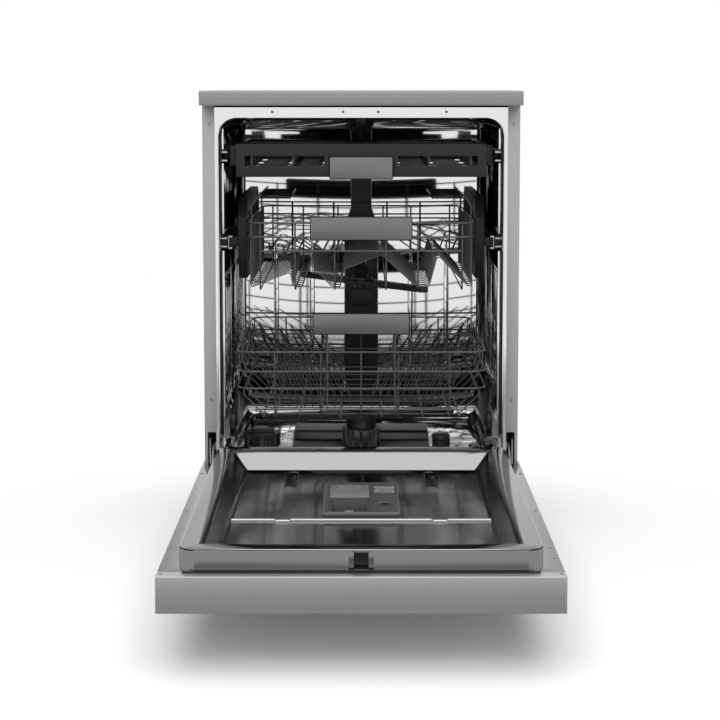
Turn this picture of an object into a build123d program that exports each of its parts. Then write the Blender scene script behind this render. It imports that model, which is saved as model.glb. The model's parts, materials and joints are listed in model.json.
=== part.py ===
from build123d import *
import math
import os

# Built-in dishwasher with its door open, in millimetres. X runs right, Y runs from the front
# to the back, Z runs up. The origin is on the floor, under the middle of the cabinet's front.

# ---- Overall sizes ----
CABINET_WIDTH = 598.0
CABINET_HEIGHT = 850.0
PANEL_DEPTH = 545.0
HALF_WIDTH = CABINET_WIDTH / 2
SHEET = 1.0
CONTACT_GAP = 0.3          # left between pieces of different bodies that seat on each other
RUN_FIT = 0.08             # radial clearance of a turning fit
ROUND = 0                  # a true circle; any other count of sides is a faceted one
FINE_SIDES = 24            # sides of wheels, hubs and housings
COARSE_SIDES = 12          # sides of small spindles and ducts

# ---- Worktop, side panels and plinth ----
WORKTOP_WIDTH = CABINET_WIDTH + 1
WORKTOP_THICK = 27.5
WORKTOP_OVERHANG = 53.0    # in front of the cabinet's front plane
WORKTOP_DEPTH = PANEL_DEPTH + WORKTOP_OVERHANG + 2
WORKTOP_NOSE = 7.0
RETURN_WIDTH = 23.0        # front and back edges of a side panel, folded inwards
SLOT_WIDTH = 17.0          # slot in the front return that the hinge passes through
SLOT_TOP = 199.0
SLOT_BOTTOM = 85.0
PANEL_BOTTOM = 15.0
SWAGE_MARGIN = 200.0       # the rear panel's swage keeps this far from its ends
PLINTH_SETBACK = 34.0
PLINTH_TOP = 94.0
PLINTH_BOTTOM = 12.0
PLINTH_HALF = HALF_WIDTH - 10
PLINTH_FOLD_HALF = HALF_WIDTH - 30   # its folds end short of the hinges
ARM_NOTCH = 20.0           # depth of the notches in its top that the hinge arms' tails swing through

# ---- Tub ----
TUB_HALF = HALF_WIDTH - 27
TUB_FLOOR = 110.0
TUB_TOP = CABINET_HEIGHT - 51
TUB_BACK = PANEL_DEPTH - 15
TUB_WALL = 1.0
TUB_TOP_RADIUS = 37.0
TUB_FOOT_RADIUS = 36.0
TUB_BACK_BEVEL = 15.0
MOUTH_LIP = 130.0          # height of the water dam at the front
MOUTH_HALF = TUB_HALF - 0.8
FLANGE_BACK = 3.2
FLANGE_HALF = HALF_WIDTH - 2.5
FLANGE_TOP = CABINET_HEIGHT - 31.6
CHANNEL_BACK = 14.0        # the seal's channel ends here
CHANNEL_STEP = 4.0         # the channel is this much wider than the tub
SEAL_LIP = 3.8

# ---- Levels of the racks under the tub's ceiling ----
TRAY_FLOOR = TUB_TOP - 99
UPPER_FLOOR = TUB_TOP - 327

# ---- Door, lying open ----
PIVOT_Y = -31.0
PIVOT_Z = 120.0
PIN_R = 4.0
DOOR_HALF = HALF_WIDTH - 0.5
DOOR_OUT = 95.0            # height of the outer face
DOOR_IN = 150.0            # height of the inner flange
DOOR_TIP = PIVOT_Y + PIVOT_Z - (CABINET_HEIGHT - 33)   # shut, the door ends this high
DOOR_HEEL = -16.0
CAP_DEPTH = 25.0           # rail along the door's upper edge
CAP_NOSE = 7.0
CAP_SHEET = 1.5
PAN_HALF = TUB_HALF - 3
PAN_RIM = 183.0
PAN_HEEL = -51.0
PAN_CORNER = 26.0
PAN_SHOULDER = 8.0
PAN_BAND = 29.0            # flat band that the lower wheels roll on
PAN_SLOPE = 31.0
PAN_FLOOR = 153.0
HEEL_BEVEL = 10.0

# ---- Hinge ----
ARM_X = (DOOR_HALF - 17.5, DOOR_HALF - 13.5)
BRACKET_X = (HALF_WIDTH - 11, HALF_WIDTH - 8)
ARM_TAIL = (45.0, 50.0)    # tip of the arm's tail, back and up from the pivot
ARM_REACH = 150.0
ARM_WIDTH = 24.0
LINK_X = (ARM_X[0] - 2.8, ARM_X[0] - CONTACT_GAP)
SPRING_R = 5.0
SPRING_START = (160.0, 143.0)
SPRING_END = (300.0, 118.0)

# ---- Spray system ----
SPRAY_Y = TUB_BACK / 2 + 7
LOWER_ARM_HALF = TUB_HALF - 75
LOWER_ARM_Z = (171.0, 182.0)
HUB_R = 31.0
HUB_Z = (150.0, 171.0)
POST_R = 8.0
UPPER_ARM_HALF = TUB_HALF - 85
UPPER_ARM_Z = (UPPER_FLOOR - 22, UPPER_FLOOR - 11.3)
UPPER_HUB_R = 21.0
LOWER_ARM_TURN = 8.0
UPPER_ARM_TURN = -46.0

# ---- Sump, filters, salt and float ----
SUMP_R = 76.0
SUMP_HOLE_R = 62.0
SUMP_BOTTOM = 36.0
FILTER_R = 39.5
FILTER_TOP = 149.0
FILTER_TEETH = 14
FILTER_PLATE_HALF = 143.0
FILTER_PLATE_Y = (SPRAY_Y - 67, SPRAY_Y + 128)
FILTER_PLATE_T = 2.0
FILTER_STEP = (SPRAY_Y + 51, 130.0)   # the rear of the plate is raised from this depth to this height
SALT_X = 67 - TUB_HALF
SALT_Y = SPRAY_Y - 22
SALT_NECK_R = 30.0
SALT_CAP_R = 38.0
SALT_CAP_Z = (117.0, 144.0)
SALT_TEETH = 12
FLOAT_AT = (TUB_HALF - 102, SPRAY_Y + 63)
FLOAT_R = 19.0
FLOAT_TOP = 122.0
FLOAT_STEM_R = 4.0

# ---- Base ----
BASE_HALF = HALF_WIDTH - 11.5
BASE_FRONT = 40.0
BASE_BACK = PANEL_DEPTH - 15
BASE_BOTTOM = 15.0
BASE_TOP = 95.0
BASE_WALL = 3.0
RIB_Y = (85.0, BASE_BACK - 80)
RIB_HALF = TUB_HALF - 50
FOOT_X = HALF_WIDTH - 44
FOOT_FRONT = 60.0
FOOT_REAR = BASE_BACK - 25
FOOT_HEX = 36.0
FOOT_PAD = 8.0
STUD_R = 4.0
STUD_TOP = 78.0
BOSS = 20.0

# ---- Services at the back ----
INLET_AT = (200.0, 62.0)
INLET_R = 13.2
DRAIN_AT = (-120.0, 62.0)
DRAIN_R = 9.5
DRAIN_BODY_R = 24.0
POWER_AT = (110.0, 62.0)
SPIGOT_COLLAR = 4.0        # collars round the spigots fill the holes in the base
PUMP_AT = (145.0, 64.0)
PUMP_MOTOR = (110.0, 235.0, 38.0)    # y from, y to, radius
PUMP_VOLUTE = (235.0, 275.0, 43.0)
SPIGOT_END = PANEL_DEPTH

# ---- Basket wire ----
WIRE = 4.0
RIM_WIRE = 5.0
WIRE_SIDES = 6             # wires are six-sided bars
TINE_SIDES = 4             # and the many tines four-sided ones
CORNER_CUT = 15.0          # loops are cut back by this at their corners
LEVEL = (0, 0, 1)          # bend axis of a wire that lies level
ACROSS = (0, 1, 0)         # of one that runs across the basket
ALONG = (1, 0, 0)          # of one that runs front to back

# ---- Lower basket ----
LOWER_HALF = TUB_HALF - 36
LOWER_Y = (44.0, TUB_BACK - 34)
LOWER_FLOOR = 222.0
LOWER_RIM = 347.0
LOWER_LOOPS = (309.0, 276.0)
LOWER_FRONT_BAR = 235.0
LOWER_SHOULDER = (LOWER_HALF - 31, 262.0)  # where the side of the basket turns in to its floor
LOWER_ROWS = 8
LOWER_ROW_START = 60.0
LOWER_ROW_PITCH = (LOWER_Y[1] - 16 - LOWER_ROW_START) / (LOWER_ROWS - 1)
LOWER_UPRIGHTS = [share * LOWER_HALF for share in (-0.708, -0.33, 0.0, 0.305, 0.725)]
LOWER_RUNNERS = [share * LOWER_HALF for share in (-0.805, -0.508, -0.17, 0.17, 0.508, 0.805)]
TINE_X = (35.0, 65.0, 95.0, 125.0, 155.0)
TINE_HEIGHT = 96.0
TINE_LEAN = 15.0
TINE_SEAT = WIRE / 2 + 0.35    # a leaning tine's foot stands this far above its wire's middle
FIXED_TINE_ROWS = (1, 2, 5, 6)
FOLD_ROW = 4
FOLD_TINE_OFFSET = 12.0
LOWER_HANDLE = (93.0, 383.0, 424.5)
HANDLE_POST_X = 65.0
HANDLE_T = 7.0

# ---- Wheels and ledges ----
WHEEL_R = 19.7
WHEEL_X = (TUB_HALF - 25, TUB_HALF - 15)
WHEEL_Y = (90.0, LOWER_Y[1] - 46)
AXLE_R = 3.0
LEDGE_INNER = TUB_HALF - 28
LEDGE_T = 3.0
LEDGE_SKIRT = 13.0
LEDGE_Y = (33.5, TUB_BACK - 35)

# ---- Upper basket ----
UPPER_HALF = TUB_HALF - 58.5
UPPER_Y = (44.0, TUB_BACK - 54)
UPPER_RIM = UPPER_FLOOR + 125
UPPER_LOOP = UPPER_FLOOR + 98
UPPER_FRONT_BAR = UPPER_FLOOR + 71
UPPER_ROWS = 6
UPPER_ROW_START = 60.0
UPPER_ROW_PITCH = (UPPER_Y[1] - 16 - UPPER_ROW_START) / (UPPER_ROWS - 1)
UPPER_UPRIGHTS = [share * UPPER_HALF for share in (-0.909, -0.595, -0.239, 0.225, 0.511, 0.909)]
# Cup and stemware ridges of the floor: places as shares of the half width, and rises.
UPPER_RIDGES = ((-0.595, 0.0), (-0.45, 44.0), (-0.239, 0.0), (-0.155, 36.0), (0.225, 57.0),
                (0.511, 0.0), (0.628, 57.0))
UPPER_HANDLE = (98.0, UPPER_FLOOR + 92, UPPER_FLOOR + 138)
SHELF_Z = UPPER_FLOOR + 168
SHELF_X = UPPER_HALF - 8.5
SHELF_REACH = 65.0
SHELF_Y = (88.0, UPPER_Y[1] - 74)
SHELF_ARMS = 6

# ---- Telescopic rails of the upper basket ----
RAIL_Z = UPPER_FLOOR + 88
RAIL_GAP = 0.5
RAIL_INNER = (TUB_HALF - 34.5, TUB_HALF - 19.5, 9.0)    # x from, x to, half height
RAIL_LIP = 3.0
RAIL_OUTER_Y = (34.0, TUB_BACK - 50)
RAIL_MIDDLE_Y = (36.0, TUB_BACK - 60)
RAIL_INNER_Y = (40.0, TUB_BACK - 70)

# ---- Height adjusters of the upper basket ----
ADJUSTER_X = (UPPER_HALF + 7.5, RAIL_INNER[0])
ADJUSTER_Y = (60.0, RAIL_INNER_Y[1] - 30)
ADJUSTER_Z = (UPPER_FLOOR + 14, UPPER_FLOOR + 173)

# ---- Cutlery tray ----
TRAY_HALF = TUB_HALF - 33.5
TRAY_Y = (33.5, TUB_BACK - 35)
TRAY_Z = (TRAY_FLOOR - 14.4, TRAY_FLOOR + 48.7)
TRAY_FRONT_DEPTH = 16.0
TRAY_WINDOW_Z = (TRAY_FLOOR + 7, TRAY_FLOOR + 25.7)
TRAY_WINDOW_X = (70.0, TRAY_HALF - 16.5)
TRAY_WALL = 3.0
TRAY_SIDE_TOP = TRAY_FLOOR + 38
TRAY_HANDLE = (61.0, TRAY_FLOOR - 19, TRAY_FLOOR + 25)
TRAY_SLOT = (9.0, 20.0)            # half width, and the bridge between two slots
TRAY_SLOT_COLUMNS = 7
TRAY_SLOT_ROWS = 3
COMB_X = (45.0, TRAY_HALF - 108.5, TRAY_HALF - 28.5)
COMB_NOTCHES = 7
COMB_HEIGHT = 22.0
RUNNER_X = (TRAY_HALF, TUB_HALF - 20)
RUNNER_Z = (TRAY_FLOOR + 6, TRAY_FLOOR + 44)
TONGUE_X = TUB_HALF - 8
TONGUE_Z = (TRAY_FLOOR + 19, TRAY_FLOOR + 31)
TRAY_RAIL_X = TUB_HALF - 17
TRAY_RAIL_WALL = 3.0

# ---- Feed column ----
COLUMN_HALF = 22.0
COLUMN_WIDE = 36.0
COLUMN_STEP_Z = (UPPER_FLOOR + 118, UPPER_FLOOR + 73)
COLUMN_FRONT = TUB_BACK - 18
DOCK_FRONT = TUB_BACK - 23
PIPE_Z = (UPPER_FLOOR - 10.5, UPPER_FLOOR + 8)
PIPE_HALF = 13.0

# ---- Dispenser, lock ----
DISPENSER_X = 64.0
DISPENSER_Y = (-434.0, -235.0)
DISPENSER_TOP = 163.0
DISPENSER_BOTTOM = 118.0
CUP_X = (-50.0, 10.0)
CUP_Y = (-422.0, -342.0)
CUP_FLOOR = 130.0
LID_T = 3.0
LID_TRAVEL = 90.0
RINSE_AT = (40.0, -290.0)
RINSE_SIDE = 34.0
RINSE_PIN_R = 1.5
RINSE_PIN_END = 1.0        # the hinge pin stands out this far at each end of its lid
LOCK_X = 7.0
LOCK_Y = (18.0, 26.0)
RECESS_X = 14.0
RECESS_Z = (153.0, 179.0)


def block(x, y, z):
    """A box between two corners, each axis given as (low, high)."""
    lows = [min(pair) for pair in (x, y, z)]
    spans = [abs(pair[1] - pair[0]) for pair in (x, y, z)]
    centre = [low + span / 2 for low, span in zip(lows, spans)]
    return Pos(*centre) * Box(*spans)


def both_sides(shape):
    """The shape and its mirror image in the middle plane, as separate solids."""
    return [shape, mirror(shape, Plane.YZ)]


def disc(radius, sides, hole):
    """A circle, or a polygon that stays inside it, or outside it where it is a hole."""
    if sides == ROUND:
        return Circle(radius)
    return RegularPolygon(radius, sides, major_radius=not hole)


def upright_cylinder(x, y, z, radius, sides=0, hole=False):
    """A cylinder about a vertical axis, between the heights in z."""
    return Pos(x, y, z[0]) * extrude(disc(radius, sides, hole), z[1] - z[0])


def cylinder_along_y(x, y, z, radius, sides=0, hole=False):
    """A cylinder about an axis that runs front to back, between the depths in y."""
    return Pos(x, y[0], z) * Rot(-90, 0, 0) * extrude(disc(radius, sides, hole), y[1] - y[0])


def cylinder_along_x(x, y, z, radius, sides=0, hole=False):
    """A cylinder about an axis that runs across, between the places in x."""
    return Pos(x[0], y, z) * Rot(0, 90, 0) * extrude(disc(radius, sides, hole), x[1] - x[0])


def side_profile(points, x):
    """A plate cut to an outline of (y, z) points, between the places in x."""
    outline = make_face(Polyline(*[(x[0], y, z) for y, z in points], close=True))
    return extrude(outline, x[1] - x[0], dir=(1, 0, 0))


def front_shape(half, z, radius_top, radius_bottom):
    """A rounded rectangle seen from the front."""
    face = Pos(0, (z[0] + z[1]) / 2) * Rectangle(2 * half, z[1] - z[0])
    face = fillet(face.vertices().sort_by(Axis.Y)[-2:], radius_top)
    return fillet(face.vertices().sort_by(Axis.Y)[:2], radius_bottom)


def front_prism(shape, y):
    """A front shape carried from one depth to another."""
    return extrude(Plane.XZ.offset(-y[1]) * shape, y[1] - y[0])


def section(direction, flat_to, width, sides):
    """Corners of a wire's section about its axis, with flats that face flat_to."""
    normal = (flat_to - direction * flat_to.dot(direction)).normalized()
    across = direction.cross(normal)
    reach = width / 2 / math.cos(math.pi / sides)
    turns = [math.pi / 2 + math.pi * (2 * n + 1) / sides for n in range(sides)]
    return [across * (reach * math.cos(t)) + normal * (reach * math.sin(t)) for t in turns]


def on_plane(corners, centre, direction, normal):
    """The section's corners slid along the wire to the plane of a mitre."""
    slides = [-corner.dot(normal) / direction.dot(normal) for corner in corners]
    return [centre + corner + direction * slide for corner, slide in zip(corners, slides)]


def polygon(corners):
    """A flat face through its corners."""
    return Face(Wire.make_polygon(corners, close=True))


def wire(points, width, bend_axis, closed=False, sides=WIRE_SIDES):
    """A bent wire as straight lengths that meet in mitres, one solid for each length.

    Every bend turns about bend_axis, and flats of the section face the inside and outside of
    the bends, so crossing wires rest on each other's flats.
    """
    nodes = [Vector(*p) for p in points]
    count = len(nodes)
    runs = [(nodes[n], nodes[(n + 1) % count]) for n in range(count if closed else count - 1)]
    ways = [(b - a).normalized() for a, b in runs]
    solids = []
    for n, ((start, end), way) in enumerate(zip(runs, ways)):
        before = ways[n - 1] if closed or n > 0 else way
        after = ways[(n + 1) % len(ways)] if closed or n + 1 < len(ways) else way
        corners = section(way, way.cross(Vector(*bend_axis)), width, sides)
        first = on_plane(corners, start, way, (way + before).normalized())
        last = on_plane(corners, end, way, (way + after).normalized())
        flats = [polygon([first[k - 1], first[k], last[k], last[k - 1]]) for k in range(sides)]
        solids.append(Solid(Shell([polygon(first), polygon(last), *flats])))
    return solids


def flat_loop(half, y, z, width):
    """A closed rectangular loop of wire at one height, with its corners cut."""
    cut = CORNER_CUT
    corners = [(half, y[0] + cut), (half, y[1] - cut), (half - cut, y[1]), (cut - half, y[1]),
               (-half, y[1] - cut), (-half, y[0] + cut), (cut - half, y[0]), (half - cut, y[0])]
    return wire([(x, depth, z) for x, depth in corners], width, LEVEL, closed=True)


def write(name, shapes):
    """Writes one node, of one solid or of several."""
    solids = []
    for shape in shapes if isinstance(shapes, list) else [shapes]:
        solids.extend(shape.solids())
    whole = solids[0] if len(solids) == 1 else Compound(solids)
    export_step(whole, f"parts/{name}.step")


# ================= cabinet =================

PANEL_HALF = CABINET_WIDTH / 2
WORKTOP_BASE = CABINET_HEIGHT - WORKTOP_THICK


def side_panel():
    """Right-hand panel with its folded front and back edges."""
    z = (PANEL_BOTTOM, WORKTOP_BASE)
    y = (0, PANEL_DEPTH - SHEET)
    panel = block((PANEL_HALF - SHEET, PANEL_HALF), y, z)
    for edge in ((0, SHEET), (y[1] - SHEET, y[1])):
        panel += block((PANEL_HALF - RETURN_WIDTH, PANEL_HALF), edge, z)
    inner = PANEL_HALF - RETURN_WIDTH
    slot = block((inner - SHEET, inner + SLOT_WIDTH), (-SHEET, 2 * SHEET), (SLOT_BOTTOM, SLOT_TOP))
    below = block((inner - SHEET, PANEL_HALF + SHEET), (-SHEET, PLINTH_SETBACK + SHEET),
                  (PANEL_BOTTOM - SHEET, SLOT_BOTTOM))
    return panel - slot - below


def worktop():
    """Board with a rounded nose and a drip groove under its front."""
    y = (-WORKTOP_OVERHANG, WORKTOP_DEPTH - WORKTOP_OVERHANG)
    board = block((-WORKTOP_WIDTH / 2, WORKTOP_WIDTH / 2), y, (WORKTOP_BASE, CABINET_HEIGHT))
    nose = board.edges().filter_by(Axis.X).group_by(Axis.Z)[-1].sort_by(Axis.Y)[0]
    board = fillet(nose, WORKTOP_NOSE)
    groove_y = -WORKTOP_OVERHANG + 2 * WORKTOP_NOSE
    groove = block((-WORKTOP_WIDTH, WORKTOP_WIDTH), (groove_y, groove_y + 3),
                   (WORKTOP_BASE - 1, WORKTOP_BASE + 2))
    return board - groove


def rear_panel():
    """Flat sheet over the back, above the base, with a stiffening swage."""
    y = (PANEL_DEPTH - SHEET, PANEL_DEPTH)
    panel = block((-PANEL_HALF, PANEL_HALF), y, (BASE_TOP, WORKTOP_BASE))
    swage = block((-PANEL_HALF / 2, PANEL_HALF / 2), (y[0] - 2, y[0]),
                  (BASE_TOP + SWAGE_MARGIN, WORKTOP_BASE - SWAGE_MARGIN))
    return panel + swage


def plinth():
    """Kick plate, folded at its top and bottom."""
    y = (PLINTH_SETBACK, PLINTH_SETBACK + SHEET)
    fold = (y[0], BASE_FRONT)
    folded = (-PLINTH_FOLD_HALF, PLINTH_FOLD_HALF)
    plate = block((-PLINTH_HALF, PLINTH_HALF), y, (PLINTH_BOTTOM, PLINTH_TOP))
    plate += block(folded, fold, (PLINTH_TOP - SHEET, PLINTH_TOP))
    plate += block(folded, fold, (PLINTH_BOTTOM, PLINTH_BOTTOM + SHEET))
    for notch in both_sides(block((ARM_X[0] - 2, PLINTH_HALF + 1), (y[0] - 1, y[1] + 1),
                                  (PLINTH_TOP - ARM_NOTCH, PLINTH_TOP + 1))):
        plate -= notch
    return plate


def tub():
    """Deep-drawn tub: front flange, seal channel, water dam and rounded cavity."""
    w = TUB_WALL
    body = front_prism(front_shape(TUB_HALF + w, (TUB_FLOOR - w, TUB_TOP + w), TUB_TOP_RADIUS + w,
                                   TUB_FOOT_RADIUS + w), (FLANGE_BACK - w, TUB_BACK + w))
    body = chamfer(body.faces().sort_by(Axis.Y)[-1].edges(), TUB_BACK_BEVEL)
    step = CHANNEL_STEP
    collar = front_prism(front_shape(TUB_HALF + step + w, (TUB_FLOOR - w, TUB_TOP + step + w),
                                     TUB_TOP_RADIUS + step + w, TUB_FOOT_RADIUS), (SHEET, CHANNEL_BACK + w))
    flange = block((-FLANGE_HALF, FLANGE_HALF), (SHEET, FLANGE_BACK), (TUB_FLOOR - w, FLANGE_TOP))
    for clear in both_sides(block((TUB_HALF + step + w, FLANGE_HALF + 1), (0, 5), (0, SLOT_TOP + 5))):
        flange -= clear
    cavity = front_prism(front_shape(TUB_HALF, (TUB_FLOOR, TUB_TOP), TUB_TOP_RADIUS, TUB_FOOT_RADIUS),
                         (FLANGE_BACK + w, TUB_BACK))
    cavity = chamfer(cavity.faces().sort_by(Axis.Y)[-1].edges(), TUB_BACK_BEVEL)
    channel = front_prism(front_shape(TUB_HALF + step, (MOUTH_LIP, TUB_TOP + step),
                                      TUB_TOP_RADIUS + step, w), (FLANGE_BACK, CHANNEL_BACK))
    mouth = front_prism(front_shape(MOUTH_HALF, (MOUTH_LIP, TUB_TOP), TUB_TOP_RADIUS, w), (0, CHANNEL_BACK))
    floor = (TUB_FLOOR - 5, TUB_FLOOR + 5)
    drain = upright_cylinder(0, SPRAY_Y, floor, SUMP_HOLE_R, FINE_SIDES, hole=True)
    salt = upright_cylinder(SALT_X, SALT_Y, floor, SALT_NECK_R + CONTACT_GAP, FINE_SIDES, hole=True)
    float_hole = upright_cylinder(*FLOAT_AT, floor, FLOAT_STEM_R + RUN_FIT, COARSE_SIDES, hole=True)
    lock = block((-LOCK_X - 0.5, LOCK_X + 0.5), (LOCK_Y[0] - 0.5, LOCK_Y[1] + 0.5),
                 (TUB_TOP - 5, TUB_TOP + 5))
    return body + collar + flange - cavity - channel - mouth - drain - salt - float_hole - lock


def door_seal():
    """Rubber profile in the channel round the sides and top, and the lip seal on the dam."""
    step = CHANNEL_STEP
    y = (FLANGE_BACK, CHANNEL_BACK)
    outer = front_prism(front_shape(TUB_HALF + step, (MOUTH_LIP, TUB_TOP + step), TUB_TOP_RADIUS + step,
                                    1), y)
    inner_half = TUB_HALF + step - SEAL_LIP
    inner = front_prism(front_shape(inner_half, (0, TUB_TOP + step - SEAL_LIP), TUB_TOP_RADIUS, 1),
                        (y[0] - 1, y[1] + 1))
    bead = block((-TUB_HALF + 30, TUB_HALF - 30), (SHEET + 1, CHANNEL_BACK / 2), (MOUTH_LIP, MOUTH_LIP + 4))
    return [outer - inner, bead]


def base_tray():
    """Moulded tray that carries the tub, with ribs, foot bosses and a recessed back wall."""
    x = (-BASE_HALF, BASE_HALF)
    y = (BASE_FRONT, BASE_BACK)
    tray = block(x, y, (BASE_BOTTOM, BASE_TOP))
    inner_x = (-BASE_HALF + BASE_WALL, BASE_HALF - BASE_WALL)
    inner_y = (BASE_FRONT + BASE_WALL, BASE_BACK - BASE_WALL)
    tray -= block(inner_x, inner_y, (BASE_BOTTOM + BASE_WALL, BASE_TOP + 1))
    underside = TUB_FLOOR - TUB_WALL
    for rib_y in RIB_Y:
        tray += block((-RIB_HALF, RIB_HALF), (rib_y, rib_y + 5), (BASE_BOTTOM + BASE_WALL, underside))
    drain_x = DRAIN_AT[0]
    tray -= block((drain_x - DRAIN_BODY_R - 4, drain_x + DRAIN_BODY_R + 4), (RIB_Y[1] - 1, RIB_Y[1] + 6),
                  (BASE_BOTTOM + BASE_WALL, BASE_TOP))
    for foot_y in (FOOT_FRONT, FOOT_REAR):
        for foot_x in (-FOOT_X, FOOT_X):
            boss = block((foot_x - BOSS / 2, foot_x + BOSS / 2), (foot_y - BOSS / 2, foot_y + BOSS / 2),
                         (BASE_BOTTOM, STUD_TOP + 4))
            half = STUD_R + CONTACT_GAP
            hole = block((foot_x - half, foot_x + half), (foot_y - half, foot_y + half),
                         (BASE_BOTTOM - 1, STUD_TOP + 1))
            tray = tray + boss - hole
    holes = ((INLET_AT, INLET_R), (DRAIN_AT, DRAIN_R), (POWER_AT, DRAIN_R))
    for (hole_x, hole_z), radius in holes:
        tray -= cylinder_along_y(hole_x, (BASE_BACK - 2 * BASE_WALL, BASE_BACK + 1), hole_z,
                                 radius + SPIGOT_COLLAR + CONTACT_GAP, FINE_SIDES, hole=True)
    for post in both_sides(block((LINK_X[0] - 2, BASE_HALF), (SPRING_END[0], SPRING_END[0] + 10),
                                 (BASE_TOP - 15, SPRING_END[1] + SPRING_R))):
        tray += post
    return tray


def levelling_foot(x, y):
    """Hexagonal foot pad on its threaded stud."""
    pad = Pos(x, y, 0) * extrude(RegularPolygon(FOOT_HEX / 2, 6, major_radius=False), FOOT_PAD)
    return pad + upright_cylinder(x, y, (FOOT_PAD, STUD_TOP), STUD_R)


def hinge_bracket():
    """Right-hand steel bracket that stands on the base tray, with the pivot pin."""
    outline = [(PIVOT_Y - 11, PIVOT_Z - 8), (PIVOT_Y - 8, PIVOT_Z - 11), (PLINTH_SETBACK - 2, PIVOT_Z - 11),
               (BASE_FRONT, BASE_TOP), (BASE_FRONT + 50, BASE_TOP), (BASE_FRONT + 50, BASE_TOP + 55),
               (BASE_FRONT, SLOT_TOP - 14), (SHEET + 4, SLOT_TOP - 14), (SHEET + 4, PIVOT_Z + 11),
               (PIVOT_Y - 8, PIVOT_Z + 11),
               (PIVOT_Y - 11, PIVOT_Z + 8)]
    return side_profile(outline, BRACKET_X)


def hinge_pin():
    """Right-hand pivot pin, riveted to the inner face of its bracket."""
    return cylinder_along_x((LINK_X[1], BRACKET_X[0]), PIVOT_Y, PIVOT_Z, PIN_R)


def door_spring():
    """Right-hand counterbalance spring, as its closed coil, with the link to the hinge arm."""
    tip = (PIVOT_Y + ARM_TAIL[0], PIVOT_Z + ARM_TAIL[1])
    start, end = SPRING_START, SPRING_END
    lean = math.atan2(start[1] - tip[1], start[0] - tip[0])
    rise = (-6 * math.sin(lean), 6 * math.cos(lean))
    link = side_profile([(tip[0] - rise[0], tip[1] - rise[1]), (start[0] - rise[0], start[1] - rise[1]),
                         (start[0] + rise[0], start[1] + rise[1]), (tip[0] + rise[0], tip[1] + rise[1])],
                         LINK_X)
    axis_x = LINK_X[0] + SPRING_R - 2
    origin = Vector(axis_x, start[0], start[1])
    way = Vector(axis_x, end[0], end[1]) - origin
    coil = Plane(origin=origin, z_dir=way) * extrude(disc(SPRING_R, COARSE_SIDES, False), way.length - 1)
    return [link, coil - link]


# ================= wash system =================

def sump():
    """Well under the tub floor, with the post that the lower spray arm turns on."""
    underside = TUB_FLOOR - TUB_WALL
    bowl = upright_cylinder(0, SPRAY_Y, (SUMP_BOTTOM, underside), SUMP_R, FINE_SIDES)
    bowl -= upright_cylinder(0, SPRAY_Y, (SUMP_BOTTOM + 4, underside + 1), SUMP_HOLE_R, FINE_SIDES)
    return bowl + upright_cylinder(0, SPRAY_Y, (SUMP_BOTTOM + 2, HUB_Z[1] - 3), POST_R, FINE_SIDES)


def knurl(radius, teeth, depth, z, x, y):
    """A vertical grip ring with finger flutes round it."""
    pitch = 2 * math.pi / teeth
    outline = []
    for n in range(teeth):
        for share, reach in ((-0.3, radius), (0.3, radius), (0.4, radius - depth), (0.6, radius - depth)):
            turn = (n + share) * pitch
            outline.append((x + reach * math.cos(turn), y + reach * math.sin(turn)))
    return Pos(0, 0, z[0]) * extrude(make_face(Polyline(*outline, close=True)), z[1] - z[0])


def filter_cylinder():
    """Twist-out filter: fluted grip above the plate and the fine mesh cup below it."""
    plate_top = TUB_FLOOR + FILTER_PLATE_T
    grip = knurl(FILTER_R, FILTER_TEETH, 5, (plate_top + CONTACT_GAP, FILTER_TOP), 0, SPRAY_Y)
    cup = upright_cylinder(0, SPRAY_Y, (SUMP_BOTTOM + 6, plate_top + 1), FILTER_R - 4, FINE_SIDES)
    bore = upright_cylinder(0, SPRAY_Y, (0, FILTER_TOP + 1), POST_R + CONTACT_GAP, COARSE_SIDES, hole=True)
    return grip + cup - bore


def filter_plate():
    """Flat strainer that covers the sump, raised at its back."""
    low = block((-FILTER_PLATE_HALF, FILTER_PLATE_HALF), FILTER_PLATE_Y,
                (TUB_FLOOR, TUB_FLOOR + FILTER_PLATE_T))
    back = block((-FILTER_PLATE_HALF, FILTER_PLATE_HALF), (FILTER_STEP[0], FILTER_PLATE_Y[1]),
                 (TUB_FLOOR, FILTER_STEP[1]))
    back = chamfer(back.edges().group_by(Axis.Z)[-1], 5)
    under = block((-FILTER_PLATE_HALF + 4, FILTER_PLATE_HALF - 4),
                  (FILTER_STEP[0] + 4, FILTER_PLATE_Y[1] - 4),
                  (TUB_FLOOR - 1, FILTER_STEP[1] - 8))
    seat = upright_cylinder(0, SPRAY_Y, (TUB_FLOOR - 1, FILTER_TOP), FILTER_R - 4 + CONTACT_GAP,
                            FINE_SIDES, hole=True)
    return low + back - under - seat


def blade(half, z, root_width, tip_width, x_sign):
    """One tapered half of a spray arm, from its hub to a rounded tip."""
    x = (0, x_sign * (half - tip_width / 2))
    outline = make_face(Polyline((x[0], -root_width / 2), (x[1], -tip_width / 2), (x[1], tip_width / 2),
                                 (x[0], root_width / 2), close=True))
    outline += Pos(x[1], 0) * Circle(tip_width / 2)
    return Pos(0, 0, z[0]) * extrude(outline, z[1] - z[0])


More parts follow.
